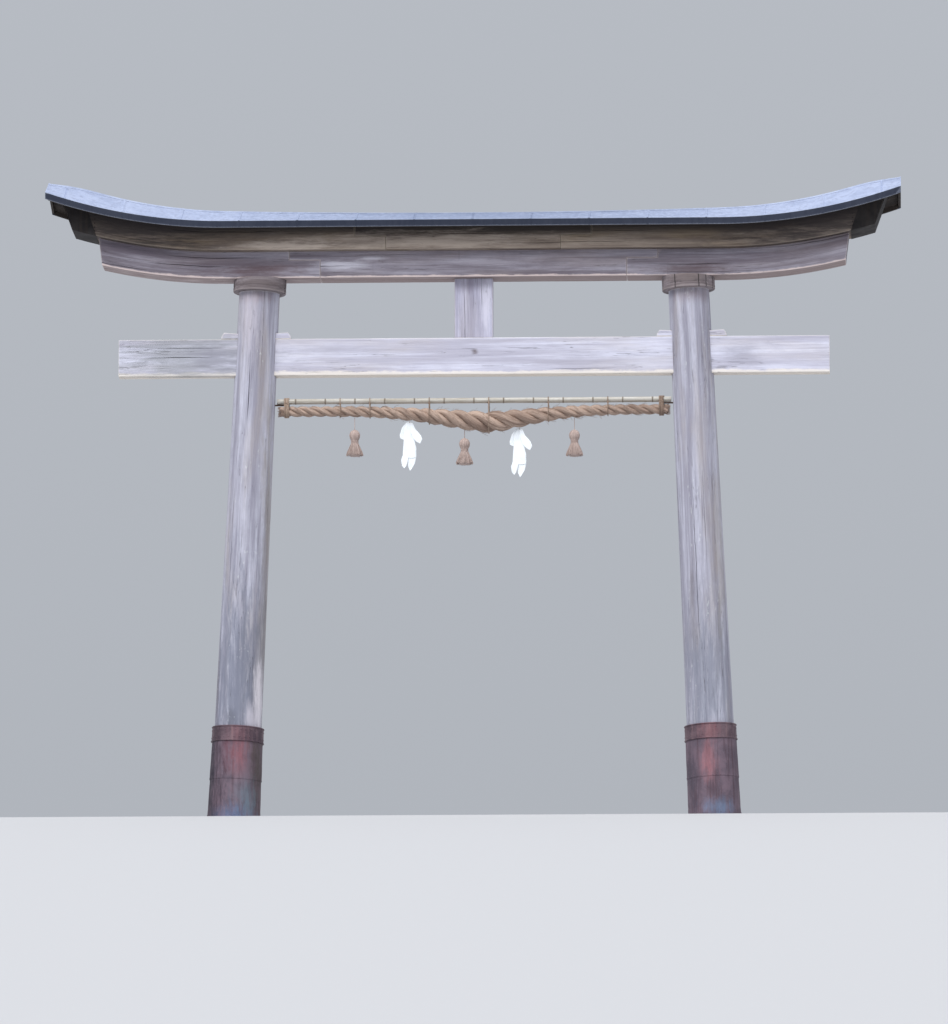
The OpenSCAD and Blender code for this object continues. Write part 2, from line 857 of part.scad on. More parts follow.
// Outline of a folded streamer below its string: a short wing on the left, a longer and lower
// one on the right, and two pointed tails, as parts of its width and of its length
streamer_outline = [
  [-0.18, -0.018], [-0.36, -0.06], [-0.54, -0.13], [-0.7, -0.28], [-0.66, -0.34], [-0.43, -0.37], [-0.46, -0.56],
  [-0.49, -0.73], [-0.6, -0.79], [-0.54, -0.9], [-0.39, -0.95], [-0.22, -0.9], [-0.16, -0.82],
  [-0.1, -0.92], [0.04, -1], [0.21, -0.93], [0.37, -0.86], [0.48, -0.68], [0.47, -0.53],
  [0.35, -0.41], [0.74, -0.46], [0.9, -0.37], [0.79, -0.29], [0.4, -0.17], [0.3, -0.06],
  [0.14, -0.018]
];

// Folded paper streamer on its string, which hangs from the rope's underside
module streamer(x) {
  top_z = rope_z(x) - rope_r(x) - seat;
  head_z = string_r / 2;
  color(paper) set_out() translate([x, 0, top_z]) elevation(streamer_t) polygon(concat(
    [[-string_r, 0], [-string_r, -head_z]],
    [for (p = streamer_outline) [p[0] * streamer_w, p[1] * streamer_l]],
    [[string_r, -head_z], [string_r, 0]]
  ));
}

module left_streamer() {
  streamer(hang_x(-1));
}

module right_streamer() {
  streamer(hang_x(1));
}

left_column();
right_column();
left_foot_wrap();
right_foot_wrap();
left_wrap_band();
right_wrap_band();
left_cap_ring();
right_cap_ring();
tie_beam();
left_outer_wedge();
left_inner_wedge();
right_inner_wedge();
right_outer_wedge();
centre_strut();
lower_lintel_left();
lower_lintel_middle();
lower_lintel_right();
upper_lintel_left();
upper_lintel_middle();
upper_lintel_right();
left_end_cap();
right_end_cap();
front_roof_deck();
back_roof_deck();
front_fascia();
back_fascia();
left_barge_board();
right_barge_board();
front_roof_sheet();
back_roof_sheet();
ridge_cap();
left_pole_nail();
right_pole_nail();
bamboo_pole();
left_pole_lashing();
right_pole_lashing();
straw_rope();
rope_ties();
left_tassel();
middle_tassel();
right_tassel();
left_streamer();
right_streamer();
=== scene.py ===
import random
from math import asin, atan2, copysign, cos, exp, pi, radians, remainder, sin, sqrt, tan, tau

import bmesh
import bpy
import numpy as np
from mathutils import Matrix, Vector, noise


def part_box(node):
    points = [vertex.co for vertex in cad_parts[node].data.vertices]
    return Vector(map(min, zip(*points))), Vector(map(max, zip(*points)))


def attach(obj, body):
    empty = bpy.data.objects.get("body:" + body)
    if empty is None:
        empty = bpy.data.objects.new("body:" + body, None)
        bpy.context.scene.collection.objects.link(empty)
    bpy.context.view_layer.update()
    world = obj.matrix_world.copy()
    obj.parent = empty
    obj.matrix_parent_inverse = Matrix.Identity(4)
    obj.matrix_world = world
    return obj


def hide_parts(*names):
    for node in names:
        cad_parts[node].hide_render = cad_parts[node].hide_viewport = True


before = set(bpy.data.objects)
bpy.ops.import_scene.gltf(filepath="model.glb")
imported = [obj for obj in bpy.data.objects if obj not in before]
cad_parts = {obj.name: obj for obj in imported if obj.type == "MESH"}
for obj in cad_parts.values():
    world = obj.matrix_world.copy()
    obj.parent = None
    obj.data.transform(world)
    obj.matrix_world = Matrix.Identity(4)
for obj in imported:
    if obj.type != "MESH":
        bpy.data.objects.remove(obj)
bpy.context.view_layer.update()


def measured(node):
    """Lowest corner, middle and size of a node in the frame, to the millimetre."""
    low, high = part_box(node)
    return [[round(c, 3) for c in place] for place in (low, (low + high) / 2, high - low)]


# Places and sizes in metres that the frame gives
(_, _, TIE_Z), (GATE_X, _, _), (_, TIE_T, TIE_H) = measured("tie_beam")
_, (_, _, POLE_Z), (POLE_L, _, _) = measured("bamboo_pole")
_, _, (ROPE_L, _, _) = measured("straw_rope")
_, _, (END_LASHING_W, _, _) = measured("left_pole_lashing")
POLE_HALF = POLE_L / 2
ROPE_HALF = ROPE_L / 2

# Sizes in metres as the gate's construction gives them, where a box doesn't show them
LEAN = radians(2.6)
COLUMN_H = 5.47
COLUMN_LEN = COLUMN_H / cos(LEAN)
FOOT_R = 0.248
TOP_R = 0.210
RING_R = 0.273
RING_H = 0.136
RING_BEVEL = 0.010
WRAP_H = 0.955
WRAP_TOP_T = 0.017
WRAP_FOOT_T = 0.027
BAND_H = 0.160
BAND_T = 0.005
BEAD_R = 0.007
WEDGE_TIP_H = 0.044
WEDGE_SLOPE = 0.016 / TOP_R
EAVE_Z = 6.1583
SWEEP_START = 2.55
SWEEP_R = 5.60
POLE_R = 0.029
BAMBOO_JOINT = 0.306
ROPE_END_Z = 4.236
ROPE_END_R = 0.056
ROPE_MID_R = 0.116
ROPE_SAG = 0.120
ROPE_LOW_X = 0.150
HANG_STEP = 0.565
HANG_LEFT = 0.097
TASSEL_DROP = 0.195
TIE_W = 0.012
SEAT = 0.0003

# Place of the camera that took the photograph, the point that it is aimed at, and its lens
EYE = Vector((GATE_X + 4.2, -101.4, -12.95))
AIM = Vector((GATE_X, 0, 3.18))
LENS_MM = 352

# Points nearer to each other than this are one
WELD = 0.00005

X = Vector((1, 0, 0))
Y = Vector((0, 1, 0))
Z = Vector((0, 0, 1))

random.seed(7)


def rise(x):
    """Upward sweep that the lintels and the roof share, x metres from the middle of the gate."""
    out = max(0, abs(x) - SWEEP_START)
    return SWEEP_R - sqrt(SWEEP_R ** 2 - out ** 2)


def column_r(s):
    """Radius of a column s metres along its axis."""
    return FOOT_R - (FOOT_R - TOP_R) * s / COLUMN_LEN


def on_circle(r, angle, z=0.0):
    """Point this far from +Z, at this angle and height."""
    return Vector((r * cos(angle), r * sin(angle), z))


def wave(point, length, seed=0.0):
    """Smooth noise from -1 to 1 with lumps of about this length."""
    return noise.noise(Vector(point) / length + Vector((seed, seed * 1.7, -seed)))


def mesh_of(name, bm):
    """New mesh with what a bmesh holds, which is freed."""
    mesh = bpy.data.meshes.new(name)
    bm.to_mesh(mesh)
    bm.free()
    return mesh


def put_in_scene(name, data):
    """New object of the scene with this mesh, lamp or camera."""
    thing = bpy.data.objects.new(name, data)
    bpy.context.scene.collection.objects.link(thing)
    return thing


# Camera, floor and light

def add_camera():
    data = bpy.data.cameras.new("camera")
    data.sensor_width = 36
    data.lens = LENS_MM
    data.clip_end = 2000
    camera = put_in_scene("camera", data)
    camera.location = EYE
    camera.rotation_euler = (AIM - EYE).to_track_quat("-Z", "Y").to_euler()
    bpy.context.scene.camera = camera


def add_floor():
    """Pale ground: level under and behind the gate, and falling away in front, as seen from below."""
    reach = 700
    crest_y = -0.285
    round_r = 1.6
    fall = radians(9.5)
    sunk = 0.001
    rows = 16
    bm = bmesh.new()
    bmesh.ops.create_grid(bm, x_segments=1, y_segments=rows + 2, size=1)
    for v in bm.verts:
        row = round((v.co.y + 1) / 2 * (rows + 2))
        side = reach * (1 if v.co.x > 0 else -1)
        turn = fall * (rows + 1 - row) / rows
        if row == rows + 2:
            v.co = (side, reach, 0)
        elif row == 0:
            v.co = (side, crest_y - reach * cos(fall), -reach * sin(fall))
        else:
            v.co = (side, crest_y - round_r * sin(turn), -round_r * (1 - cos(turn)))
        v.co.z -= sunk
    mesh = mesh_of("floor", bm)
    mesh.shade_smooth()
    paint = new_finish("pale floor")
    paint.join((0.50, 0.50, 0.51, 1), paint.shader["Base Color"])
    paint.join(0.9, paint.shader["Roughness"])
    mesh.materials.append(paint.material)
    put_in_scene("floor", mesh)


def add_light():
    """Soft light from an overcast studio sky, brightest overhead, a wide key lamp and a weak fill."""
    world = bpy.data.worlds.new("studio")
    world.use_nodes = True
    sky = Finish(world.node_tree)
    up = sky.add("SeparateXYZ", {0: sky.add("TexCoord", {}, "Generated")}, "Z")
    height = sky.spread(up, -0.15, 0.9)
    glow = sky.blend(height, (0.50, 0.53, 0.58, 1), (0.98, 1.03, 1.12, 1))
    background = world.node_tree.nodes["Background"]
    world.node_tree.links.new(glow, background.inputs["Color"])
    background.inputs["Strength"].default_value = 0.75
    bpy.context.scene.world = world
    for name, strength, spread, height, turn in (("key", 2.6, 35, 50, -28), ("fill", 0.4, 60, 30, 50)):
        data = bpy.data.lights.new(name, "SUN")
        data.energy = strength
        data.angle = radians(spread)
        lamp = put_in_scene(name, data)
        lamp.rotation_euler = (radians(90 - height), 0, radians(turn))
    bpy.context.scene.view_settings.view_transform = "Standard"


# Shader nodes

def tone(screen):
    """Colour of the light that three screen values of 0 to 255 stand for."""
    return (*(c / 255 / 12.92 if c < 10.3 else ((c / 255 + 0.055) / 1.055) ** 2.4 for c in screen), 1)


class Finish:
    """Nodes of one material, group or sky, added and joined by short calls."""

    def __init__(self, tree):
        self.tree = tree

    def join(self, value, socket):
        if isinstance(value, bpy.types.NodeSocket):
            self.tree.links.new(value, socket)
        else:
            socket.default_value = value

    def add(self, kind, inputs, output=0, **settings):
        node = self.tree.nodes.new("ShaderNode" + kind)
        for key, value in settings.items():
            setattr(node, key, value)
        for key, value in inputs.items():
            self.join(value, node.inputs[key])
        return node.outputs[output]

    def use(self, group, **inputs):
        node = self.tree.nodes.new("ShaderNodeGroup")
        node.node_tree = group
        for key, value in inputs.items():
            self.join(value, node.inputs[key.replace("_", " ")])
        return node.outputs

    def math(self, operation, a, b=0.0):
        return self.add("Math", {0: a, 1: b}, operation=operation)

    def product(self, *values):
        result = values[0]
        for value in values[1:]:
            result = self.math("MULTIPLY", result, value)
        return result

    def total(self, *weighted):
        """Sum of values, each given with its weight."""
        terms = [value if weight == 1 else self.product(value, weight) for value, weight in weighted]
        result = terms[0]
        for term in terms[1:]:
            result = self.math("ADD", result, term)
        return result

    def spread(self, value, low, high, low_to=0.0, high_to=1.0):
        inputs = {"Value": value, "From Min": low, "From Max": high, "To Min": low_to, "To Max": high_to}
        return self.add("MapRange", inputs, interpolation_type="SMOOTHSTEP")

    def blend(self, share, a, b, how="MIX"):
        """Mix of two colours, each from other nodes, four values of light or three screen values."""
        a, b = (tone(c) if isinstance(c, tuple) and len(c) == 3 else c for c in (a, b))
        return self.add("Mix", {0: share, 6: a, 7: b}, 2, data_type="RGBA", blend_type=how)

    def lay(self, share, colour, how="MIX"):
        """Lays a colour over the finish by a share."""
        self.colour = self.blend(share, self.colour, colour, how)

    def stretch(self, vector, scale, shift=(0, 0, 0)):
        return self.add("Mapping", {"Vector": vector, "Scale": scale, "Location": shift})

    def cloud(self, vector, scale=1.0, detail=4.0, rough=0.55, warp=0.0):
        inputs = {"Vector": vector, "Scale": scale, "Detail": detail, "Roughness": rough}
        return self.add("TexNoise", {**inputs, "Distortion": warp})

    def shifted(self, vector, seed):
        """The same place in another stretch of the pattern."""
        steps = {0: self.product(seed, 7.3), 1: seed, 2: self.product(seed, 3.1)}
        return self.add("VectorMath", {0: vector, 1: self.add("CombineXYZ", steps)}, operation="ADD")

    def attribute(self, name, output="Fac"):
        return self.add("Attribute", {}, output, attribute_name=name)

    def place(self):
        return self.add("TexCoord", {}, "Object")

    def lay_patches(self, patches, **how):
        """Lays patches over the finish: the centre, half the size, the colour and the share of each."""
        for centre, size, colour, share in patches:
            mask = self.use(PATCH, Centre=centre, Size=size, **how)["Mask"]
            self.lay(self.product(mask, share), colour)

    def done(self, rough, relief, strength, depth):
        """Gives the finished material, with this roughness and a relief of this strength and depth."""
        bump = self.add("Bump", {"Height": relief, "Strength": strength, "Distance": depth})
        for label, value in (("Base Color", self.colour), ("Roughness", rough), ("Normal", bump)):
            self.join(value, self.shader[label])
        return self.material

    def put_out(self, **values):
        """Gives the finished group, with these numbers as its outputs."""
        for key in values:
            label = key.replace("_", " ")
            self.tree.interface.new_socket(name=label, in_out="OUTPUT", socket_type="NodeSocketFloat")
        result = self.tree.nodes.new("NodeGroupOutput").inputs
        for key, value in values.items():
            self.join(value, result[key.replace("_", " ")])
        return self.tree


def shader_group(name, **inputs):
    """Node group with these inputs, ready for its nodes: vectors for tuples, and numbers for the rest."""
    tree = bpy.data.node_groups.new(name, "ShaderNodeTree")
    for key, value in inputs.items():
        kind = "NodeSocketVector" if isinstance(value, tuple) else "NodeSocketFloat"
        socket = tree.interface.new_socket(name=key.replace("_", " "), in_out="INPUT", socket_type=kind)
        socket.default_value = value
    group = Finish(tree)
    group.given = tree.nodes.new("NodeGroupInput").outputs
    return group


def wood_figure_group():
    """Figure of weathered softwood along the grain: broad streaks, fibres, rings and fine checks."""
    g = shader_group("wood figure", Seed=0.0, Ring_Step=0.02)
    grain = g.shifted(g.attribute("grain", "Vector"), g.given["Seed"])
    streaks = g.cloud(g.stretch(grain, (0.45, 11, 11)), detail=6, rough=0.6, warp=0.3)
    fibres = g.cloud(g.stretch(grain, (3, 170, 170)), detail=4, rough=0.65)
    threads = g.cloud(g.stretch(grain, (9, 620, 620)), detail=2)
    wander = g.cloud(g.stretch(grain, (0.5, 2, 2)), detail=2)
    across = g.stretch(grain, (0, 1, 1))
    far = g.add("VectorMath", {0: across}, "Value", operation="LENGTH")
    ring_wave = g.math("DIVIDE", g.total((far, 1), (wander, 0.16)), g.given["Ring Step"])
    rings = g.math("PINGPONG", g.total((ring_wave, 1), (streaks, 1.3)), 1.0)
    crack_noise = g.cloud(g.stretch(grain, (0.9, 30, 30)), detail=3, rough=0.5, warp=0.2)
    line = g.math("ABSOLUTE", g.math("SUBTRACT", crack_noise, 0.5))
    where = g.spread(g.cloud(g.stretch(grain, (1.1, 9, 9), (3, 5, 1)), detail=2), 0.45, 0.6)
    checks = g.product(g.spread(line, 0.0, 0.009, 1.0, 0.0), where)
    year_step = 0.007
    year_wave = g.math("DIVIDE", g.total((far, 1), (wander, 0.05)), year_step)
    year_rings = g.math("PINGPONG", year_wave, 1.0)
    turn = g.cloud(g.add("VectorMath", {0: across}, operation="NORMALIZE"), 4.5, detail=1)
    spokes = g.spread(g.math("ABSOLUTE", g.math("SUBTRACT", turn, 0.5)), 0.0, 0.014, 1.0, 0.0)
    return g.put_out(
        Streaks=streaks, Fibres=g.total((fibres, 0.65), (threads, 0.35)), Rings=rings, Checks=checks,
        Year_Rings=year_rings, Spokes=spokes,
        Relief=g.total((fibres, 0.55), (threads, 0.25), (rings, 0.2), (checks, -1.1)),
    )


def rain_runs_group():
    """Marks that rain leaves on its way down, as a mask."""
    g = shader_group("rain runs", Place=(0, 0, 0), Seed=0.0, Cover=0.5)
    place = g.shifted(g.given["Place"], g.given["Seed"])
    wide = g.cloud(g.stretch(place, (7, 7, 0.8)), detail=3, rough=0.6, warp=0.4)
    fine = g.cloud(g.stretch(place, (38, 38, 1.6)), detail=3, rough=0.6)
    both = g.total((wide, 0.6), (fine, 0.4))
    low = g.math("SUBTRACT", 0.78, g.product(g.given["Cover"], 0.45))
    high = g.math("ADD", low, 0.13)
    return g.put_out(Mask=g.spread(both, low, high))


def pale_flecks_group():
    """Small pale crusts of lichen, as a mask."""
    g = shader_group("pale flecks", Place=(0, 0, 0), Size=0.02, Cover=0.5)
    scale = g.math("DIVIDE", 1.0, g.given["Size"])
    bent = g.add("VectorMath", {0: g.given["Place"], 1: (1, 1, 0.4)}, operation="MULTIPLY")
    spots = g.cloud(bent, scale, detail=3, rough=0.6)
    colony = g.cloud(bent, 5.0, detail=2)
    limit = g.math("SUBTRACT", 0.86, g.product(g.given["Cover"], g.spread(colony, 0.4, 0.65, 0.1, 0.4)))
    return g.put_out(Mask=g.spread(g.math("SUBTRACT", spots, limit), -0.03, 0.09))


def patch_group():
    """Soft-edged ragged patch round a point of the gate, as a mask."""
    g = shader_group("patch", Centre=(0, 0, 0), Size=(1, 1, 1), Ragged=0.5, Stretch=(9, 9, 9), Core=0.35)
    place = g.place()
    offset = g.add("VectorMath", {0: place, 1: g.given["Centre"]}, operation="SUBTRACT")
    offset = g.add("VectorMath", {0: offset, 1: g.given["Size"]}, operation="DIVIDE")
    far = g.add("VectorMath", {0: offset}, "Value", operation="LENGTH")
    rough = g.cloud(g.stretch(place, g.given["Stretch"]), detail=8, rough=0.74)
    rough = g.product(g.math("SUBTRACT", rough, 0.5), g.given["Ragged"], 4.5)
    return g.put_out(Mask=g.spread(g.math("ADD", far, rough), g.given["Core"], 1.15, 1.0, 0.0))


def sheet_patina_group():
    """Patina of old sheet metal: clouds, runs, speckles and dents."""
    g = shader_group("sheet patina", Place=(0, 0, 0), Seed=0.0)
    place = g.shifted(g.given["Place"], g.given["Seed"])
    clouds = g.cloud(place, 5.5, detail=6, rough=0.62, warp=0.5)
    runs = g.cloud(g.stretch(place, (26, 26, 1.3)), detail=5, rough=0.6, warp=0.2)
    speckles = g.cloud(place, 140, detail=3, rough=0.7)
    dents = g.cloud(place, 9, detail=2)
    relief = g.total((dents, 0.6), (speckles, 0.1), (clouds, 0.3))
    return g.put_out(Clouds=clouds, Runs=runs, Speckles=speckles, Relief=relief)


WOOD_FIGURE = wood_figure_group()
RAIN_RUNS = rain_runs_group()
PALE_FLECKS = pale_flecks_group()
PATCH = patch_group()
SHEET_PATINA = sheet_patina_group()


def new_finish(name):
    """Empty material and the Finish that fills it."""
    material = bpy.data.materials.new(name)
    material.use_nodes = True
    finish = Finish(material.node_tree)
    finish.shader = material.node_tree.nodes["Principled BSDF"].inputs
    finish.material = material
    return finish


def timber(name, silver, shade, warm, warmth=0.4, seed=0.0, runs=0.4, run_tone=(62, 54, 56), flecks=0.3,
           arris=(214, 208, 206), ring_step=0.018, along=(2.5, 22, 22), underside=None, skirt=None,
           eave_shade=None, end_grain=None, patches=()):
    """Old bare timber, silver where the weather reaches it and warmer where it is sheltered."""
    f = new_finish(name)
    figure = f.use(WOOD_FIGURE, Seed=seed, Ring_Step=ring_step)
    place = f.place()
    f.colour = f.blend(f.spread(figure["Streaks"], 0.36, 0.64), shade, silver)
    sheltered = f.cloud(f.stretch(f.attribute("grain", "Vector"), (0.7, 5, 5), (seed, 0, 2)), detail=4)
    f.lay(f.product(f.spread(sheltered, 0.46, 0.68), warmth), warm)
    f.lay(f.spread(figure["Fibres"], 0.32, 0.56, 0.36, 0.0), shade, "MULTIPLY")
    f.lay(f.spread(figure["Rings"], 0.72, 1.0, 0.0, 0.26), shade)
    mottle = f.cloud(f.stretch(place, [0.5 * c + 4 for c in along], (seed, 4, 0)), detail=6, rough=0.68)
    f.lay(f.spread(mottle, 0.42, 0.66, 0.0, 0.34), shade)
    height = f.attribute("height")
    # The eave tone darkens the upper part of the face: painted shade under the roof's overhang.
    if eave_shade:
        f.lay(f.product(f.spread(height, 0.14, 0.52), 0.92), eave_shade)
    if underside:
        f.lay(f.product(f.spread(height, 0.002, 0.014, 1.0, 0.0), 0.85), underside)
    if skirt:
        skirt_tone, skirt_height = skirt
        ragged = f.math("ADD", height, f.product(f.math("SUBTRACT", mottle, 0.5), 2.4 * skirt_height))
        streaky = f.math("SUBTRACT", figure["Streaks"], 0.5)
        ragged = f.math("ADD", ragged, f.product(streaky, 2.0 * skirt_height))
        mask = f.product(f.spread(ragged, 0.5 * skirt_height, 1.2 * skirt_height, 1.0, 0.0),
                         f.spread(height, 0.003, 0.012))
        f.lay(f.product(mask, 0.8), skirt_tone)
    if end_grain:
        facing = f.add("SeparateXYZ", {0: f.add("NewGeometry", {}, "Normal")}, "X")
        end = f.spread(f.math("ABSOLUTE", facing), 0.8, 0.95)
        f.lay(f.product(end, f.spread(figure["Year Rings"], 0.35, 0.95), 0.6), end_grain)
        spokes = f.product(figure["Spokes"], f.spread(mottle, 0.4, 0.55))
        f.lay(f.product(end, spokes, 0.8), (46, 40, 42))
    run = f.use(RAIN_RUNS, Place=place, Seed=seed, Cover=runs)["Mask"]
    f.lay(f.product(run, 0.38), run_tone)
    f.lay_patches(patches, Ragged=0.6, Stretch=along, Core=0.1)
    fleck = f.use(PALE_FLECKS, Place=place, Size=0.024, Cover=flecks)["Mask"]
    f.lay(f.product(fleck, 0.32), (222, 226, 224))
    worn = f.total((f.attribute("edge"), 1), (figure["Fibres"], 0.018))
    f.lay(f.product(f.spread(worn, 0.010, 0.021, 1.0, 0.0), 0.4), arris)
    f.lay(f.product(figure["Checks"], 0.62), (50, 42, 42))
    f.lay(f.spread(f.attribute("crack"), 0.15, 0.8), (26, 21, 22))
    return f.done(f.spread(figure["Fibres"], 0.3, 0.7, 0.92, 0.72), figure["Relief"], 0.55, 0.004)


def sheet_metal(name, base, cloud_tone, run_tone, speckle_tone, shine=0.5, metallic=0.6, gloss=0.5,
                seed=0.0, hem=None, patches=()):
    """Old sheet metal whose patina runs and clouds over the bare sheet."""
    f = new_finish(name)
    place = f.place()
    patina = f.use(SHEET_PATINA, Place=place, Seed=seed)
    f.colour = f.blend(f.spread(patina["Clouds"], 0.38, 0.64), base, cloud_tone)
    f.lay(f.product(f.spread(patina["Runs"], 0.48, 0.66), 0.75), run_tone)
    f.lay_patches(patches, Ragged=0.62, Stretch=(24, 24, 5), Core=-0.2)
    f.lay(f.product(f.spread(patina["Speckles"], 0.58, 0.72), 0.5), speckle_tone)
    # The hem, the sheet's turned-down edge, is laid with a dark tone: dark patina with painted shade under
    # the eave.
    if hem:
        f.lay(f.product(f.attribute("hem"), 0.94), hem)
    worn = f.total((f.attribute("edge"), 1), (patina["Speckles"], 0.006))
    f.lay(f.product(f.spread(worn, 0.003, 0.008, 1.0, 0.0), 0.4), speckle_tone)
    f.shader["Specular IOR Level"].default_value = gloss
    f.join(f.spread(f.attribute("hem"), 0.0, 1.0, metallic, 0.0) if hem else metallic, f.shader["Metallic"])
    rough = f.spread(patina["Clouds"], 0.3, 0.7, shine, shine + 0.22)
    return f.done(f.total((rough, 1), (patina["Speckles"], 0.1)), patina["Relief"], 0.35, 0.006)


# Working the pieces

def make(name, bm, material, slot, *nodes, smooth=38):
    """Finished piece from a bmesh measured from the middle of the gate, in place of these nodes."""
    bmesh.ops.translate(bm, verts=bm.verts, vec=(GATE_X, 0, 0))
    mesh = mesh_of(name, bm)
    mesh.shade_smooth()
    mesh.set_sharp_from_angle(angle=radians(smooth))
    piece = put_in_scene(name, mesh)
    mesh.materials.append(material)
    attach(piece, "root")
    if nodes:
        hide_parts(*nodes)
    return piece


def copy_of(node):
    """Welded copy of a node's mesh, measured from the middle of the gate."""
    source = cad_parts[node].data
    bm = bmesh.new()
    verts = [bm.verts.new(v.co - GATE_X * X) for v in source.vertices]
    for polygon in source.polygons:
        bm.faces.new([verts[i] for i in polygon.vertices])
    bmesh.ops.remove_doubles(bm, verts=bm.verts, dist=WELD)
    bmesh.ops.dissolve_degenerate(bm, dist=WELD, edges=bm.edges)
    bm.normal_update()
    return bm


def cut_all(bm, at, normal, **cleared):
    """Cuts the whole bmesh by a plane, and clears one side of it if asked."""
    geom = bm.verts[:] + bm.edges[:] + bm.faces[:]
    bmesh.ops.bisect_plane(bm, geom=geom, dist=WELD, plane_co=at, plane_no=normal, **cleared)


def cut_some(bm, geom, at, normal):
    """Cuts some faces by a plane. Gives what they became, and the points on the plane."""
    cut = bmesh.ops.bisect_plane(bm, geom=geom, dist=WELD, plane_co=at, plane_no=normal)
    return cut["geom"], [v for v in cut["geom_cut"] if isinstance(v, bmesh.types.BMVert)]


def with_corners(faces):
    """These faces with their points and edges."""
    return list({v for f in faces for v in f.verts}) + list({e for f in faces for e in f.edges}) + faces


def new_layers(bm, *names):
    """Layers for what the materials read at each point. The grain is a place, and the rest are numbers."""
    layers = bm.verts.layers
    return [(layers.float_vector if name == "grain" else layers.float).new(name) for name in names]


def span(verts, axis):
    """Lowest and highest place of these points along an axis."""
    places = [v.co[axis] for v in verts]
    return min(places), max(places)


def slice_through(bm, axis, step, margin):
    """Cuts all faces by planes across an axis, one every step and one close to each end."""
    low, high = span(bm.verts, axis)
    normal = (X, Y, Z)[axis]
    count = max(1, round((high - low) / step))
    places = [low + (high - low) * i / count for i in range(1, count)]
    if high - low > 3 * margin:
        places += [low + margin, high - margin]
    for at in places:
        cut_all(bm, normal * at, normal)


def distance_to_lines(points, lines):
    """Distance from each point to the nearest of these straight lines."""
    nearest = np.full(len(points), 1.0)
    for a, b in lines:
        a, along = np.array(a), np.array(b) - np.array(a)
        share = np.clip((points - a) @ along / max(along @ along, 1e-12), 0, 1)
        nearest = np.minimum(nearest, np.linalg.norm(points - (a + share[:, None] * along), axis=1))
    return nearest


def split(bm, facing, at, start, end, gape, depth, crack, seed):
    """Drying check that runs along X in the side that faces this way, and gapes at its middle."""
    across = 1 if abs(facing.z) > 0.5 else 2
    normal = (X, Y, Z)[across]
    near = [f for f in bm.faces if f.normal.dot(facing) > 0.9 and start < f.calc_center_median().x < end]
    near = [f for f in near if span(f.verts, across)[0] < at < span(f.verts, across)[1]]
    geom = with_corners(near)
    lines = []
    for shift in (-gape, 0, gape):
        if not geom:
            return
        geom, made = cut_some(bm, geom, normal * (at + shift), normal)
        lines += [(v, shift) for v in made]
    for v, shift in lines:
        share = min(1, max(0, (v.co.x - start) / (end - start)))
        open_share = sqrt(max(0, sin(pi * share)))
        wander = 0.008 * wave((v.co.x, at, 0), 0.35, seed) + 0.003 * wave((v.co.x, at, 0), 0.09, seed)
        v.co[across] += wander - shift * 0.92 * (1 - open_share)
        if shift == 0:
            v.co -= facing * depth * open_share
            v[crack] = open_share


def random_splits(bm, facing, count, crack, seed):
    """Drying checks at random places of a side, some of them open at the piece's ends."""
    gape, depth = 0.0028, 0.012
    side = [v for f in bm.faces if f.normal.dot(facing) > 0.9 for v in f.verts]
    if not side:
        return
    low, high = span(side, 1 if abs(facing.z) > 0.5 else 2)
    left, right = span(side, 0)
    for i in range(count):
        at = low + (high - low) * (i + random.uniform(0.25, 0.75)) / count
        length = min(right - left, random.uniform(0.5, 1.7))
        start = random.uniform(left - 0.4 * length, right - 0.6 * length)
        scale = random.uniform(0.5, 1.2)
        split(bm, facing, at, start, start + length, gape * scale, depth * scale, crack, seed + i)


def ribbed(bm, facing, step, width, height):
    """Ribs across the faces that point this way, one every step along X. A height below 0 gives grooves."""
    high = max(abs(v.co.x) for v in bm.verts)
    geom = with_corners([f for f in bm.faces if f.normal.dot(facing) > 0.75])
    crests = []
    count = int((high - 2 * width) / step)
    for i in range(-count, count + 1):
        for shift in (-width / 2, -width / 4, width / 4, width / 2):
            geom, made = cut_some(bm, geom, X * (i * step + shift), X)
            if abs(shift) < width / 3:
                crests += made
    for v in set(crests):
        v.co += facing * height


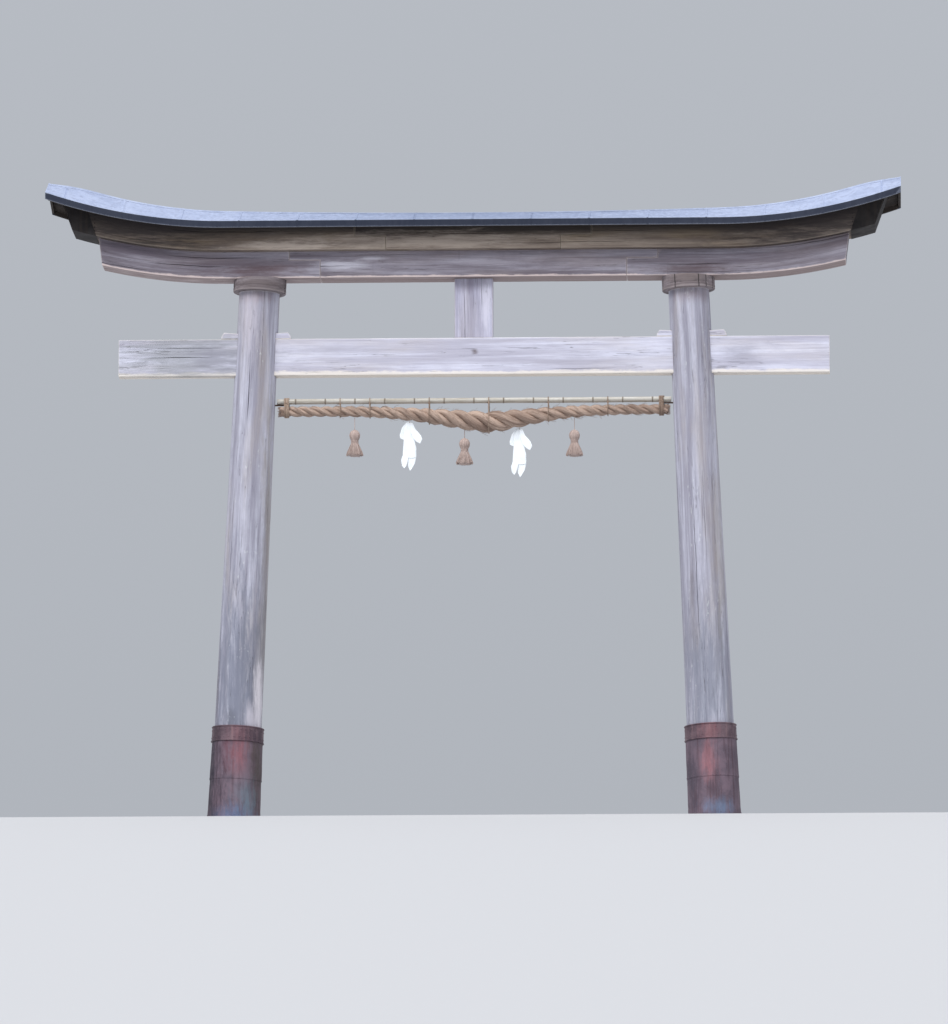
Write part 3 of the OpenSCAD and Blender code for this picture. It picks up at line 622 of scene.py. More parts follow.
def worked(node, arris, cell, splits=0, swept=False, upright=False, wear=0.0016, seed=0.0, ribs=()):
    """Copy of a node with its arrises eased, its faces weathered and its drying checks open."""
    flat = radians(0.7)
    sharp = radians(30)
    bm = copy_of(node)
    turn = Matrix.Rotation(radians(90), 4, "Y") if upright else Matrix.Identity(4)
    bmesh.ops.transform(bm, matrix=turn, verts=bm.verts)
    if swept:
        for v in bm.verts:
            v.co.z -= rise(v.co.x)
    bmesh.ops.dissolve_limit(
        bm, angle_limit=flat, use_dissolve_boundaries=False, verts=bm.verts, edges=bm.edges
    )
    bm.normal_update()
    corners = [e for e in bm.edges if e.is_manifold and e.calc_face_angle() > sharp]
    lines = [(e.verts[0].co.copy(), e.verts[1].co.copy()) for e in corners]
    bmesh.ops.bevel(
        bm, geom=corners, offset=arris, offset_type="OFFSET", segments=2, profile=0.5,
        affect="EDGES", clamp_overlap=True, material=-1,
    )
    for axis in (1, 2, 0):
        slice_through(bm, axis, cell, 2.2 * arris)
    bm.normal_update()
    grain, edge, crack, height = new_layers(bm, "grain", "edge", "crack", "height")
    if splits:
        for facing in (-Y, Y, Z, -Z):
            random_splits(bm, facing, splits, crack, seed)
    for facing, step, width, lift in ribs:
        ribbed(bm, facing, step, width, lift)
    bm.normal_update()
    points = np.array([v.co for v in bm.verts])
    far = distance_to_lines(points, lines)
    shift = Vector((seed * 3.7, 0.11 * sin(seed * 5), 0.13 * cos(seed * 3) - points[:, 2].mean()))
    for v, distance in zip(bm.verts, far):
        v[grain] = v.co + shift
        v[edge] = distance
        stretched = (v.co.x / 9, v.co.y, v.co.z)
        hollow = 0.5 + 0.5 * wave(stretched, 0.05, seed) + 0.4 * wave(stretched, 0.015, seed)
        v.co -= v.normal * wear * max(0, hollow)
    bmesh.ops.transform(bm, matrix=turn.inverted(), verts=bm.verts)
    low, high = span(bm.verts, 2)
    for v in bm.verts:
        v[height] = (v.co.z - low) / (high - low)
        if swept:
            v.co.z += rise(v.co.x)
    return bm


def rework(node, ending, material, slot, **how):
    """Puts a worked copy of a node in its place."""
    make(f"{node}_{ending}", worked(node, **how), material, slot, node)


def on_column(bm, side):
    """Moves what is drawn round +Z onto the leaning axis of the left or the right column."""
    lean = Matrix.Translation((-GATE_X, 0, 0)) @ Matrix.Rotation(LEAN, 4, "Y")
    if side == "right":
        lean = Matrix.Diagonal((-1, 1, 1, 1)) @ lean
    bmesh.ops.transform(bm, matrix=lean, verts=bm.verts)


def skin(bm, rings, sides, place, loop=True):
    """Grid of rings by sides with each point put in its place, and closed round the sides for a loop."""
    made = bmesh.ops.create_grid(bm, x_segments=rings, y_segments=sides, size=0.5)["verts"]
    for v in made:
        v.co = place(v, v.co.x + 0.5, v.co.y + 0.5)
    if loop:
        rim = [v for v in made if v.is_boundary]
        bmesh.ops.remove_doubles(bm, verts=rim, dist=WELD)


def outwards(bm):
    bmesh.ops.recalc_face_normals(bm, faces=bm.faces)


def close_holes(bm):
    bmesh.ops.holes_fill(bm, edges=[e for e in bm.edges if e.is_boundary], sides=0)
    outwards(bm)


def carved(bm, cutter):
    """What is left of a bmesh when another one is cut out of it."""
    objects = [put_in_scene("carving", mesh_of("carving", part)) for part in (bm, cutter)]
    cut = objects[0].modifiers.new("cut", "BOOLEAN")
    cut.operation = "DIFFERENCE"
    cut.object = objects[1]
    cut.solver = "EXACT"
    result = bmesh.new()
    result.from_object(objects[0], bpy.context.evaluated_depsgraph_get())
    for old in objects:
        mesh = old.data
        bpy.data.objects.remove(old)
        bpy.data.meshes.remove(mesh)
    return result


# Timber pieces

SILVER_TIMBER = timber(
    "silver column timber", (196, 196, 210), (148, 146, 160), (168, 156, 144), seed=1.0,
    warmth=0.4, flecks=0.62, runs=0.28, along=(22, 22, 2.5),
    patches=(
        ((0.22, -0.20, 5.42), (0.30, 0.20, 0.10), (122, 98, 98), 0.4),
        ((0.16, -0.20, 5.20), (0.12, 0.20, 0.50), (204, 198, 210), 0.5),
        ((0.43, -0.08, 4.78), (0.035, 0.25, 0.22), (86, 68, 62), 0.6),
        ((0.34, 0.02, 3.10), (0.09, 0.30, 1.9), (150, 140, 126), 0.5),
        ((0.28, 0.02, 1.70), (0.09, 0.30, 1.0), (146, 138, 128), 0.5),
        ((0.06, -0.20, 1.30), (0.42, 0.40, 1.50), (112, 116, 132), 0.85),
        ((-0.17, -0.12, 1.70), (0.035, 0.30, 0.90), (104, 98, 104), 0.65),
        # Pale strip down the column's right edge: painted highlight of light from the right.
        ((0.26, -0.14, 1.26), (0.060, 0.26, 0.50), (232, 226, 232), 0.85),
        ((0.20, -0.18, 1.02), (0.10, 0.20, 0.20), (218, 212, 222), 0.6),
        ((-0.03, -0.22, 1.03), (0.10, 0.16, 0.13), (98, 100, 112), 0.6),
        ((4.70, -0.20, 5.42), (0.30, 0.20, 0.12), (122, 100, 100), 0.45),
        ((4.49, -0.08, 4.78), (0.035, 0.25, 0.22), (86, 68, 62), 0.6),
        ((4.84, -0.20, 1.40), (0.34, 0.34, 1.00), (122, 126, 140), 0.7),
        ((4.70, -0.16, 2.30), (0.04, 0.20, 0.60), (110, 104, 108), 0.5),
        ((4.96, 0.05, 2.60), (0.10, 0.30, 1.7), (150, 140, 126), 0.45),
    ),
)
PALE_TIMBER = timber(
    "pale beam timber", (219, 220, 236), (184, 182, 197), (196, 184, 170), seed=2.0,
    warmth=0.25, runs=0.2, flecks=0.2, arris=(236, 228, 214), underside=(236, 226, 210),
    skirt=((238, 230, 220), 0.10), end_grain=(112, 108, 118),
    patches=(
        ((-0.50, -0.085, 4.79), (1.00, 0.14, 0.45), (146, 148, 153), 0.75),
        ((2.47, -0.085, 4.84), (0.05, 0.05, 0.035), (92, 78, 78), 0.8),
        ((-0.22, -0.085, 4.78), (0.34, 0.10, 0.16), (138, 136, 152), 0.45),
        ((0.90, -0.085, 4.86), (0.60, 0.10, 0.06), (160, 158, 174), 0.4),
        ((3.60, -0.085, 4.72), (0.70, 0.10, 0.10), (160, 156, 168), 0.4),
        ((5.20, -0.085, 4.80), (0.30, 0.10, 0.16), (140, 138, 152), 0.45),
    ),
)
STRUT_TIMBER = timber(
    "pale strut timber", (200, 199, 218), (156, 153, 172), (182, 172, 164), seed=7.0,
    warmth=0.25, runs=0.3, flecks=0.2, arris=(228, 220, 212), along=(22, 22, 2.5),
    patches=(
        ((2.58, -0.09, 5.30), (0.07, 0.20, 0.40), (222, 220, 234), 0.6),
        ((2.40, -0.09, 5.52), (0.16, 0.20, 0.10), (128, 120, 136), 0.5),
    ),
)
LOWER_TIMBER = timber(
    "lower lintel timber", (162, 158, 170), (112, 104, 114), (134, 118, 114), seed=3.0,
    warmth=0.35, runs=0.4, flecks=0.25, arris=(214, 200, 196), underside=(150, 132, 128),
    skirt=((220, 202, 198), 0.07), end_grain=(64, 57, 66),
    patches=(
        ((0.25, -0.20, 5.67), (0.60, 0.20, 0.09), (82, 54, 56), 0.7),
        ((-0.20, -0.20, 5.75), (0.55, 0.20, 0.07), (84, 72, 82), 0.55),
        ((-0.95, -0.20, 5.95), (0.60, 0.20, 0.12), (92, 82, 96), 0.5),
        ((1.10, -0.20, 5.73), (0.30, 0.20, 0.07), (204, 202, 214), 0.7),
        ((1.40, -0.20, 5.80), (0.20, 0.20, 0.04), (204, 202, 214), 0.6),
        ((2.60, -0.20, 5.76), (0.60, 0.20, 0.05), (184, 180, 192), 0.5),
        ((4.68, -0.20, 5.67), (0.55, 0.20, 0.08), (80, 56, 58), 0.65),
        ((5.40, -0.20, 5.80), (0.60, 0.20, 0.08), (96, 86, 98), 0.5),
    ),
)
UPPER_TIMBER = timber(
    "upper lintel timber", (158, 144, 132), (108, 94, 86), (148, 128, 98), seed=4.0,
    # Near-black eave tone: painted shade under the roof's overhang.
    warmth=0.5, runs=0.35, flecks=0.2, arris=(170, 158, 142), eave_shade=(34, 29, 30),
    patches=(
        # Dark patch at the left end: partly weather staining, partly painted shade under the upswept roof
        # end.
        ((-1.05, -0.28, 6.2), (1.3, 0.4, 0.6), (46, 40, 42), 0.85),
        ((0.50, -0.28, 5.93), (0.60, 0.30, 0.07), (206, 192, 180), 0.6),
        ((2.00, -0.28, 5.96), (1.60, 0.30, 0.12), (196, 182, 170), 0.6),
        # Dark patch at the right end: partly weather staining, partly painted shade under the upswept roof
        # end.
        ((5.97, -0.28, 6.2), (1.3, 0.4, 0.6), (46, 40, 42), 0.85),
    ),
)
# Near-black deck and edge-board timber: partly the sheltered wood's dark tone, partly painted shade under
# the roof.
DECK_TIMBER = timber(
    "roof deck timber", (58, 50, 45), (36, 30, 28), (52, 43, 34), seed=5.0,
    warmth=0.6, runs=0.3, flecks=0.05, arris=(70, 60, 52),
)
RING_TIMBER = timber(
    "cap ring timber", (150, 140, 144), (108, 98, 100), (130, 112, 100), seed=6.0,
    warmth=0.45, runs=0.35, flecks=0.3, arris=(176, 164, 160), ring_step=0.012,
)


def add_beams():
    """Tie beam with its wedges, centre strut, and the two lintels of three pieces."""
    rework("tie_beam", "worked", PALE_TIMBER, "tie_beam_timber", arris=0.007, cell=0.048, splits=3, seed=2.0)
    for i, place in enumerate(("left_outer", "left_inner", "right_inner", "right_outer")):
        node = place + "_wedge"
        rework(node, "worked", PALE_TIMBER, "wedge_timber", arris=0.005, cell=0.03, seed=11.0 + i)
    rework(
        "centre_strut", "worked", STRUT_TIMBER, "strut_timber", arris=0.006, cell=0.045, splits=2,
        upright=True, seed=15.0,
    )
    for tier, material, seed in (("lower_lintel", LOWER_TIMBER, 20.0), ("upper_lintel", UPPER_TIMBER, 25.0)):
        for i, part in enumerate(("left", "middle", "right")):
            rework(
                f"{tier}_{part}", "worked", material, tier + "_timber", arris=0.006, cell=0.055, splits=3,
                swept=True, seed=seed + i,
            )


def add_column(side):
    """Log of a column: its skin drawn as a plank and rolled up, with the tie beam's slot cut out."""
    around = 132
    along = 190
    plank_r = 0.23
    foot = 0.03
    checks = 11
    gape, depth = 0.003, 0.016
    seed = 31.0 if side == "left" else 37.0
    bm = bmesh.new()
    bmesh.ops.create_grid(bm, x_segments=along, y_segments=around, size=0.5)
    for v in bm.verts:
        v.co = ((v.co.x + 0.5) * (COLUMN_LEN + foot) - foot, v.co.y * tau * plank_r, 0)
    bm.normal_update()
    grain, edge, crack = new_layers(bm, "grain", "edge", "crack")
    for i in range(checks):
        at = ((i + random.uniform(0.2, 0.8)) / checks - 0.5) * tau * plank_r
        length = random.uniform(0.8, 3.4)
        start = random.uniform(0.9, COLUMN_LEN - 0.4 * length)
        scale = random.uniform(0.6, 1.4)
        split(bm, Z, at, start, start + length, gape * scale, depth * scale, crack, seed + i)
    for v in bm.verts:
        s, turn = v.co.x, v.co.y / plank_r
        rim = on_circle(1, turn)
        broad = wave((s / 14, rim.y * plank_r, rim.x * plank_r), 0.09, seed)
        fine = wave((s / 10, rim.x * plank_r, rim.y * plank_r), 0.018, seed)
        hollow = 0.5 + 0.5 * broad + 0.35 * fine
        r = column_r(s) + v.co.z - 0.0022 * max(0, hollow)
        v.co = rim * r + Z * s
        v[grain] = Vector((s + seed, rim.x * r, rim.y * r))
        v[edge] = min(1.0, COLUMN_LEN - s)
    bmesh.ops.remove_doubles(bm, verts=[v for v in bm.verts if v.is_boundary], dist=0.0005)
    on_column(bm, side)
    cut_all(bm, (0, 0, 0), Z, clear_inner=True)
    close_holes(bm)
    bm = carved(bm, tie_slot(side))
    make(side + "_column_worked", bm, SILVER_TIMBER, "column_timber", side + "_column")


def tie_slot(side):
    """Slot for the tie beam and its wedges, a little wider than they are."""
    gap = 0.003
    reach = 0.5
    lean_x = -GATE_X + (TIE_Z + TIE_H / 2) * tan(LEAN)
    middle = lean_x if side == "left" else -lean_x
    top = TIE_Z + TIE_H + WEDGE_TIP_H + gap
    outline = [
        (-reach, TIE_Z - gap), (reach, TIE_Z - gap), (reach, top + WEDGE_SLOPE * reach),
        (0, top), (-reach, top + WEDGE_SLOPE * reach),
    ]
    half = TIE_T / 2 + gap
    bm = bmesh.new()
    face = bm.faces.new([bm.verts.new((middle + x, -half, z)) for x, z in outline])
    pushed = bmesh.ops.extrude_face_region(bm, geom=[face])["geom"]
    moved = [v for v in pushed if isinstance(v, bmesh.types.BMVert)]
    bmesh.ops.translate(bm, verts=moved, vec=(0, 2 * half, 0))
    outwards(bm)
    return bm


# Metal pieces

WRAP_METAL = sheet_metal(
    "foot wrap metal", (116, 98, 110), (96, 84, 96), (84, 64, 74), (138, 130, 142),
    seed=1.0, shine=0.5, metallic=0.3,
    patches=(
        ((0.07, -0.28, 0.70), (0.14, 0.20, 0.38), (154, 98, 106), 0.72),
        ((-0.06, -0.26, 0.70), (0.08, 0.20, 0.28), (104, 56, 68), 0.7),
        # Dark right side of the left wrap: painted shade on its shadow side.
        ((0.25, -0.12, 0.50), (0.13, 0.30, 0.80), (78, 68, 66), 0.9),
        ((0.14, -0.26, 0.22), (0.20, 0.20, 0.30), (114, 124, 138), 0.6),
        ((0.02, -0.28, 0.00), (0.42, 0.24, 0.20), (92, 112, 146), 0.8),
        ((0.18, -0.24, 0.12), (0.12, 0.20, 0.22), (110, 130, 142), 0.5),
        # Very dark left side of the left wrap: painted shadow.
        ((-0.28, -0.12, 0.45), (0.27, 0.36, 1.00), (36, 31, 44), 0.95),
        ((4.86, -0.28, 0.56), (0.13, 0.14, 0.28), (168, 112, 118), 0.65),
        ((4.98, -0.28, 0.08), (0.24, 0.16, 0.14), (108, 130, 160), 0.7),
        ((4.68, -0.14, 0.40), (0.11, 0.25, 0.45), (72, 66, 78), 0.7),
        ((0.05, 0.28, 0.30), (0.25, 0.14, 0.28), (112, 126, 146), 0.5),
        ((4.92, 0.28, 0.40), (0.22, 0.14, 0.36), (152, 108, 116), 0.5),
    ),
)
BAND_METAL = sheet_metal(
    "wrap band metal", (110, 90, 98), (82, 66, 76), (134, 108, 112), (156, 142, 146),
    seed=2.0, shine=0.42, metallic=0.4,
    patches=(
        ((0.06, -0.28, 0.88), (0.15, 0.20, 0.22), (132, 90, 98), 0.5),
        ((4.86, -0.28, 0.88), (0.15, 0.20, 0.22), (142, 96, 102), 0.6),
        # Dark left side of the left band: painted shade, as on the wrap below.
        ((-0.25, -0.14, 0.88), (0.19, 0.30, 0.50), (48, 38, 48), 0.85),
    ),
)
CAP_METAL = sheet_metal(
    "end cap metal", (38, 34, 34), (27, 24, 26), (50, 42, 38), (66, 60, 60), seed=3.0,
    shine=0.7, metallic=0.1,
)
# Pale bluish roof tones: the sheet's weathered grey with painted sky reflection.
ROOF_METAL = sheet_metal(
    "roof sheet metal", (178, 188, 214), (162, 172, 198), (152, 160, 184), (200, 208, 226),
    # Navy hem tone: dark patina with painted shade under the eave.
    seed=4.0, shine=0.45, metallic=0.3, gloss=0.15, hem=(24, 29, 44),
    # Darker patch over the middle of the roof: painted shadow.
    patches=(((2.46, 0.0, 6.25), (3.10, 1.5, 1.4), (118, 130, 156), 0.8),),
)
NAIL_IRON = sheet_metal(
    "nail iron", (64, 56, 52), (92, 62, 46), (44, 38, 36), (112, 84, 66), seed=5.0,
    shine=0.6, metallic=0.7,
)


def add_copies(bm, part, matrices):
    """Adds a small bmesh to a large one at each of these places, and frees it."""
    mesh = mesh_of("part", part)
    for matrix in matrices:
        mesh.transform(matrix)
        bm.from_mesh(mesh)
        mesh.transform(matrix.inverted())
    bpy.data.meshes.remove(mesh)


def studs(bm, places, radius, height):
    """Low domed nail heads at these places, each given with the direction that it faces."""
    bed = 0.0005
    dome = bmesh.new()
    bmesh.ops.create_uvsphere(dome, u_segments=9, v_segments=6, radius=1)
    bmesh.ops.delete(dome, geom=[v for v in dome.verts if v.co.z < -0.6], context="VERTS")
    bmesh.ops.scale(dome, vec=(radius, radius, height), verts=dome.verts)
    edge = new_layers(dome, "edge")[0]
    for v in dome.verts:
        v[edge] = 0.004 if v.co.z > 0.8 * height else 0.02
    add_copies(bm, dome, [
        Matrix.Translation(place - facing * bed) @ Z.rotation_difference(facing).to_matrix().to_4x4()
        for place, facing in places
    ])


def worn_metal(bm, dent, seed):
    """Marks the whole of a turned metal piece as away from its edges, and dents it from outside."""
    edge = new_layers(bm, "edge")[0]
    for v in bm.verts:
        v[edge] = 0.02
        v.co -= v.normal * dent * max(0, 0.3 + wave(v.co, 0.16, seed) + 0.5 * wave(v.co, 0.05, seed))


def round_shell(outside, inside, around, bulge=None):
    """Closed shell round +Z between two outlines of radius and height. The outer one may bulge."""
    bm = bmesh.new()
    outline = outside + inside[::-1] + outside[:1]
    last = len(outline) - 1

    def place(_, along, turn):
        r, s = outline[round(along * last)]
        angle = turn * tau
        if bulge and (round(along * last) < len(outside) or along == 1):
            r += bulge(angle, s)
        return on_circle(r, angle, s)

    skin(bm, last, around, place)
    outwards(bm)
    bm.normal_update()
    return bm


def wrap_r(s):
    """Outer radius of a foot wrap s metres along the column's axis."""
    past = 0.06
    low = column_r(-past) + WRAP_FOOT_T
    high = column_r(WRAP_H) + WRAP_TOP_T
    return low + (high - low) * (s + past) / (WRAP_H + past)


def on_round(angle, s, out=0.0):
    """Point of a foot wrap's face and the direction that it faces."""
    return on_circle(wrap_r(s) + out, angle, s), on_circle(1, angle)


def add_foot_wrap(side):
    """Sheet round the foot in two courses, nailed along its laps, with its upright seam at the back."""
    lap_s = 0.405
    lap_t = 0.0035
    seam = radians(118)
    rows = 46
    foot = 0.03
    lap_nails, foot_nails, nail_step = 40, 36, 0.055
    seed = 41.0 if side == "left" else 47.0

    def bulge(angle, s):
        turned = abs(remainder(angle - seam, tau)) * FOOT_R
        fold = 0.004 * max(0, 1 - (turned / 0.012) ** 4) if turned < 0.012 else 0
        course = lap_t if s > lap_s else 0
        sag = 0.004 * max(0, 1 - s / 0.16) ** 2
        crease = 0.0022 * exp(-((s - 0.11 - 0.02 * sin(2 * angle)) / 0.012) ** 2)
        return fold + course + sag - crease - lap_t

    heights = [WRAP_H * (i + 1) / rows for i in range(-2, rows)]
    heights = sorted(heights + [lap_s - 0.0015, lap_s + 0.0015, WRAP_H - 0.004])
    heights[0] = -foot
    outside = [(wrap_r(s), s) for s in heights]
    inside = [(column_r(s) + SEAT, s) for s in (-foot, 0.3, 0.6, WRAP_H)]
    bm = round_shell(outside, inside, around=150, bulge=bulge)
    worn_metal(bm, 0.0022, seed)
    nails = [on_round(tau * i / lap_nails, lap_s + 0.014, -0.001) for i in range(lap_nails)]
    nails += [on_round(seam + 0.085, s, -lap_t) for s in np.arange(0.05, WRAP_H - BAND_H, nail_step)]
    for i in range(foot_nails):
        nails.append(on_round(tau * (i + 0.5) / foot_nails, 0.035, 0.003 - lap_t))
    studs(bm, nails, radius=0.0065, height=0.0035)
    on_column(bm, side)
    cut_all(bm, (0, 0, 0), Z, clear_inner=True)
    rim = [e for e in bm.edges if e.is_boundary and max(v.co.z for v in e.verts) < 0.001]
    bmesh.ops.bridge_loops(bm, edges=rim)
    outwards(bm)
    make(side + "_foot_wrap_sheet", bm, WRAP_METAL, "foot_wrap_metal", side + "_foot_wrap")


def add_wrap_band(side):
    """Hoop with a rolled bead along both edges, nailed between them."""
    low = WRAP_H - BAND_H
    bead = [(BEAD_R * cos(a), BEAD_R * sin(a)) for a in np.linspace(-pi / 2, pi / 2, 7)]
    out = SEAT + BAND_T
    outside = [(wrap_r(low) + out + r, low + BEAD_R + s) for r, s in bead]
    flat = [low + 2 * BEAD_R + (BAND_H - 4 * BEAD_R) * i / 7 for i in range(1, 7)]
    outside += [(wrap_r(s) + out, s) for s in flat]
    outside += [(wrap_r(WRAP_H) + out + r, WRAP_H - BEAD_R + s) for r, s in bead]
    inside = [(wrap_r(s) + SEAT, s) for s in (low, WRAP_H)]
    bm = round_shell(outside, inside, around=144)
    worn_metal(bm, 0.0012, 51.0)
    nails = 30
    for s in (low + 0.042, WRAP_H - 0.042):
        row = [on_round(tau * (i + s * nails) / nails, s, out - 0.001) for i in range(nails)]
        studs(bm, row, radius=0.0075, height=0.005)
    on_column(bm, side)
    outwards(bm)
    make(side + "_wrap_band_sheet", bm, BAND_METAL, "wrap_band_metal", side + "_wrap_band")


def add_cap_ring(side):
    """Ring turned from timber, with a worked groove round it, planed level under the lintel."""
    groove, groove_r = 0.052, RING_R - 0.004
    hole_r, tall = 0.115, 0.19
    check_depth = 0.006
    rows = [(RING_R, groove + 0.008 + (tall - 0.06) * i / 12) for i in range(13)]
    outside = [
        (RING_R - RING_BEVEL - 0.03, 0), (RING_R - RING_BEVEL, 0), (RING_R - 0.6 * RING_BEVEL, 0.0018),
        (RING_R - 0.2 * RING_BEVEL, 0.0062), (RING_R, RING_BEVEL), (RING_R, 0.024), (RING_R, 0.038),
        (RING_R, groove - 0.007), (groove_r, groove - 0.002), (groove_r, groove + 0.002), *rows,
    ]
    inside = [(hole_r, 0), (hole_r, tall)]
    bm = round_shell(outside, inside, around=132)
    grain, edge, crack = new_layers(bm, "grain", "edge", "crack")
    seed = 61.0 if side == "left" else 67.0
    checks = [random.uniform(0, tau) for _ in range(9)]
    for v in bm.verts:
        angle = atan2(v.co.y, v.co.x)
        r = v.co.xy.length
        v[grain] = Vector((0.27 * cos(angle + 0.7), v.co.z, 0.08 * sin(angle) + r)) + X * seed
        v[edge] = min(abs(v.co.z - RING_BEVEL) + abs(r - RING_R), 1)
        if r > RING_R - 0.012:
            close = min(abs(remainder(angle - a, tau)) for a in checks)
            if close < radians(1.4):
                v[crack] = 0.75
                v.co -= v.normal * check_depth
            v.co -= v.normal * 0.0018 * max(0, 0.5 + 0.5 * wave((angle, v.co.z * 9, 0), 0.3, seed))
    on_column(bm, side)
    bmesh.ops.translate(bm, verts=bm.verts, vec=column_top(side))
    cut_all(bm, Z * (COLUMN_H + RING_H), Z, clear_outer=True)
    bmesh.ops.bridge_loops(bm, edges=[e for e in bm.edges if e.is_boundary])
    outwards(bm)
    make(side + "_cap_ring_turned", bm, RING_TIMBER, "ring_timber", side + "_cap_ring")


def column_top(side):
    """Way from the foot of a column's axis up to its shoulder."""
    x = COLUMN_LEN * sin(LEAN)
    return Vector((x if side == "left" else -x, 0, COLUMN_LEN * cos(LEAN)))


def add_end_cap(side):
    """Sheet cap on a lintel end, nailed along its inner edge."""
    node = side + "_end_cap"
    low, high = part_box(node)
    inner = (high.x - 0.016 if side == "left" else low.x + 0.016) - GATE_X
    bm = worked(node, arris=0.0012, cell=0.06, wear=0.0008, seed=71.0)
    heads = []
    for facing, y in ((-Y, low.y), (Y, high.y)):
        heads += [(Vector((inner, y, low.z + 0.05 + 0.042 * i)), facing) for i in range(5)]
    studs(bm, heads, radius=0.006, height=0.0035)
    edge = bm.verts.layers.float.get("edge")
    for v in bm.verts:
        v[edge] = max(v[edge], 0.001)
    make(node + "_sheet", bm, CAP_METAL, "end_cap_metal", node)


def add_roof_boards():
    """Roof deck, laid in boards across the lintel, and the fascia boards on its edges."""
    board_step = 0.21
    for i, side in enumerate(("front", "back")):
        rework(
            side + "_roof_deck", "boards", DECK_TIMBER, "deck_timber", arris=0.002, cell=0.07, swept=True,
            seed=77.0 + i, ribs=((-Z, board_step, 0.008, -0.005),),
        )
        rework(
            side + "_fascia", "worked", DECK_TIMBER, "edge_board_timber", arris=0.003, cell=0.06,
            swept=True, seed=79.0 + i,
        )


def add_roof_metal():
    """Roof sheets with a folded seam every 0.6 m, and the cap over the ridge."""
    seam_step = 0.6
    for i, side in enumerate(("front", "back")):
        node = side + "_roof_sheet"
        front = -Y if side == "front" else Y
        bm = worked(
            node, arris=0.0015, cell=0.055, swept=True, wear=0.0012, seed=81.0 + i,
            ribs=((Z, seam_step, 0.026, 0.006), (front, seam_step, 0.026, 0.002)),
        )
        hem = new_layers(bm, "hem")[0]
        for v in bm.verts:
            v[hem] = float(v.co.z - rise(v.co.x) < EAVE_Z - 0.0008)
        make(node + "_seamed", bm, ROOF_METAL, "roof_metal", node)
    rework(
        "ridge_cap", "sheet", ROOF_METAL, "ridge_metal", arris=0.0015, cell=0.06, swept=True, wear=0.001,
        seed=85.0,
    )


# Bamboo, straw and paper

def fibre(name, light, dark, joint=None, rough=0.75, step=420):
    """Dry plant fibre that runs along its piece: bamboo or straw, no two stalks alike."""
    f = new_finish(name)
    grain = f.attribute("grain", "Vector")
    fine = f.cloud(f.stretch(grain, (6, step, step)), detail=4, rough=0.65)
    long = f.cloud(f.stretch(grain, (1.6, 30, 30)), detail=3)
    mould = f.cloud(f.place(), 26.0, detail=5, rough=0.7)
    both = f.total((fine, 0.5), (long, 0.5))
    f.colour = f.blend(f.spread(both, 0.36, 0.62), dark, light)
    f.lay(f.spread(mould, 0.52, 0.72, 0.0, 0.55), dark)
    f.lay(f.spread(f.attribute("shade"), 0.0, 1.0, 0.5, 0.0), dark)
    if joint:
        near = f.spread(f.attribute("edge"), 0.002, 0.012, 1.0, 0.0)
        f.lay(f.product(near, 0.8), joint)
    return f.done(f.spread(fine, 0.3, 0.7, rough + 0.12, rough - 0.08), fine, 0.6, 0.0015)


BAMBOO = fibre(
    "dry bamboo", (206, 204, 198), (160, 152, 138), joint=(112, 98, 84), rough=0.45, step=150
)
STRAW = {
    "rope_straw": fibre("rope straw", (192, 168, 152), (120, 98, 86)),
    "lashing_straw": fibre("lashing straw", (182, 160, 142), (104, 84, 72)),
    "tassel_straw": fibre("tassel straw", (216, 198, 190), (146, 124, 116)),
}


def paper():
    """Cut and folded white paper, slightly cockled by the damp."""
    f = new_finish("streamer paper")
    place = f.place()
    cockle = f.cloud(place, 18.0, detail=4, rough=0.6)
    pulp = f.cloud(place, 700.0, detail=3, rough=0.7)
    damp = f.cloud(f.stretch(place, (8, 8, 5), (2, 0, 1)), detail=5, rough=0.6)
    f.colour = f.blend(f.spread(damp, 0.5, 0.72, 0.0, 0.3), (243, 248, 252), (206, 209, 220))
    f.lay(f.spread(pulp, 0.5, 0.7, 0.0, 0.12), (206, 208, 214))
    return f.done(f.spread(pulp, 0.3, 0.7, 0.78, 0.92), f.total((cockle, 0.9), (pulp, 0.1)), 0.35, 0.004)


PAPER = paper()


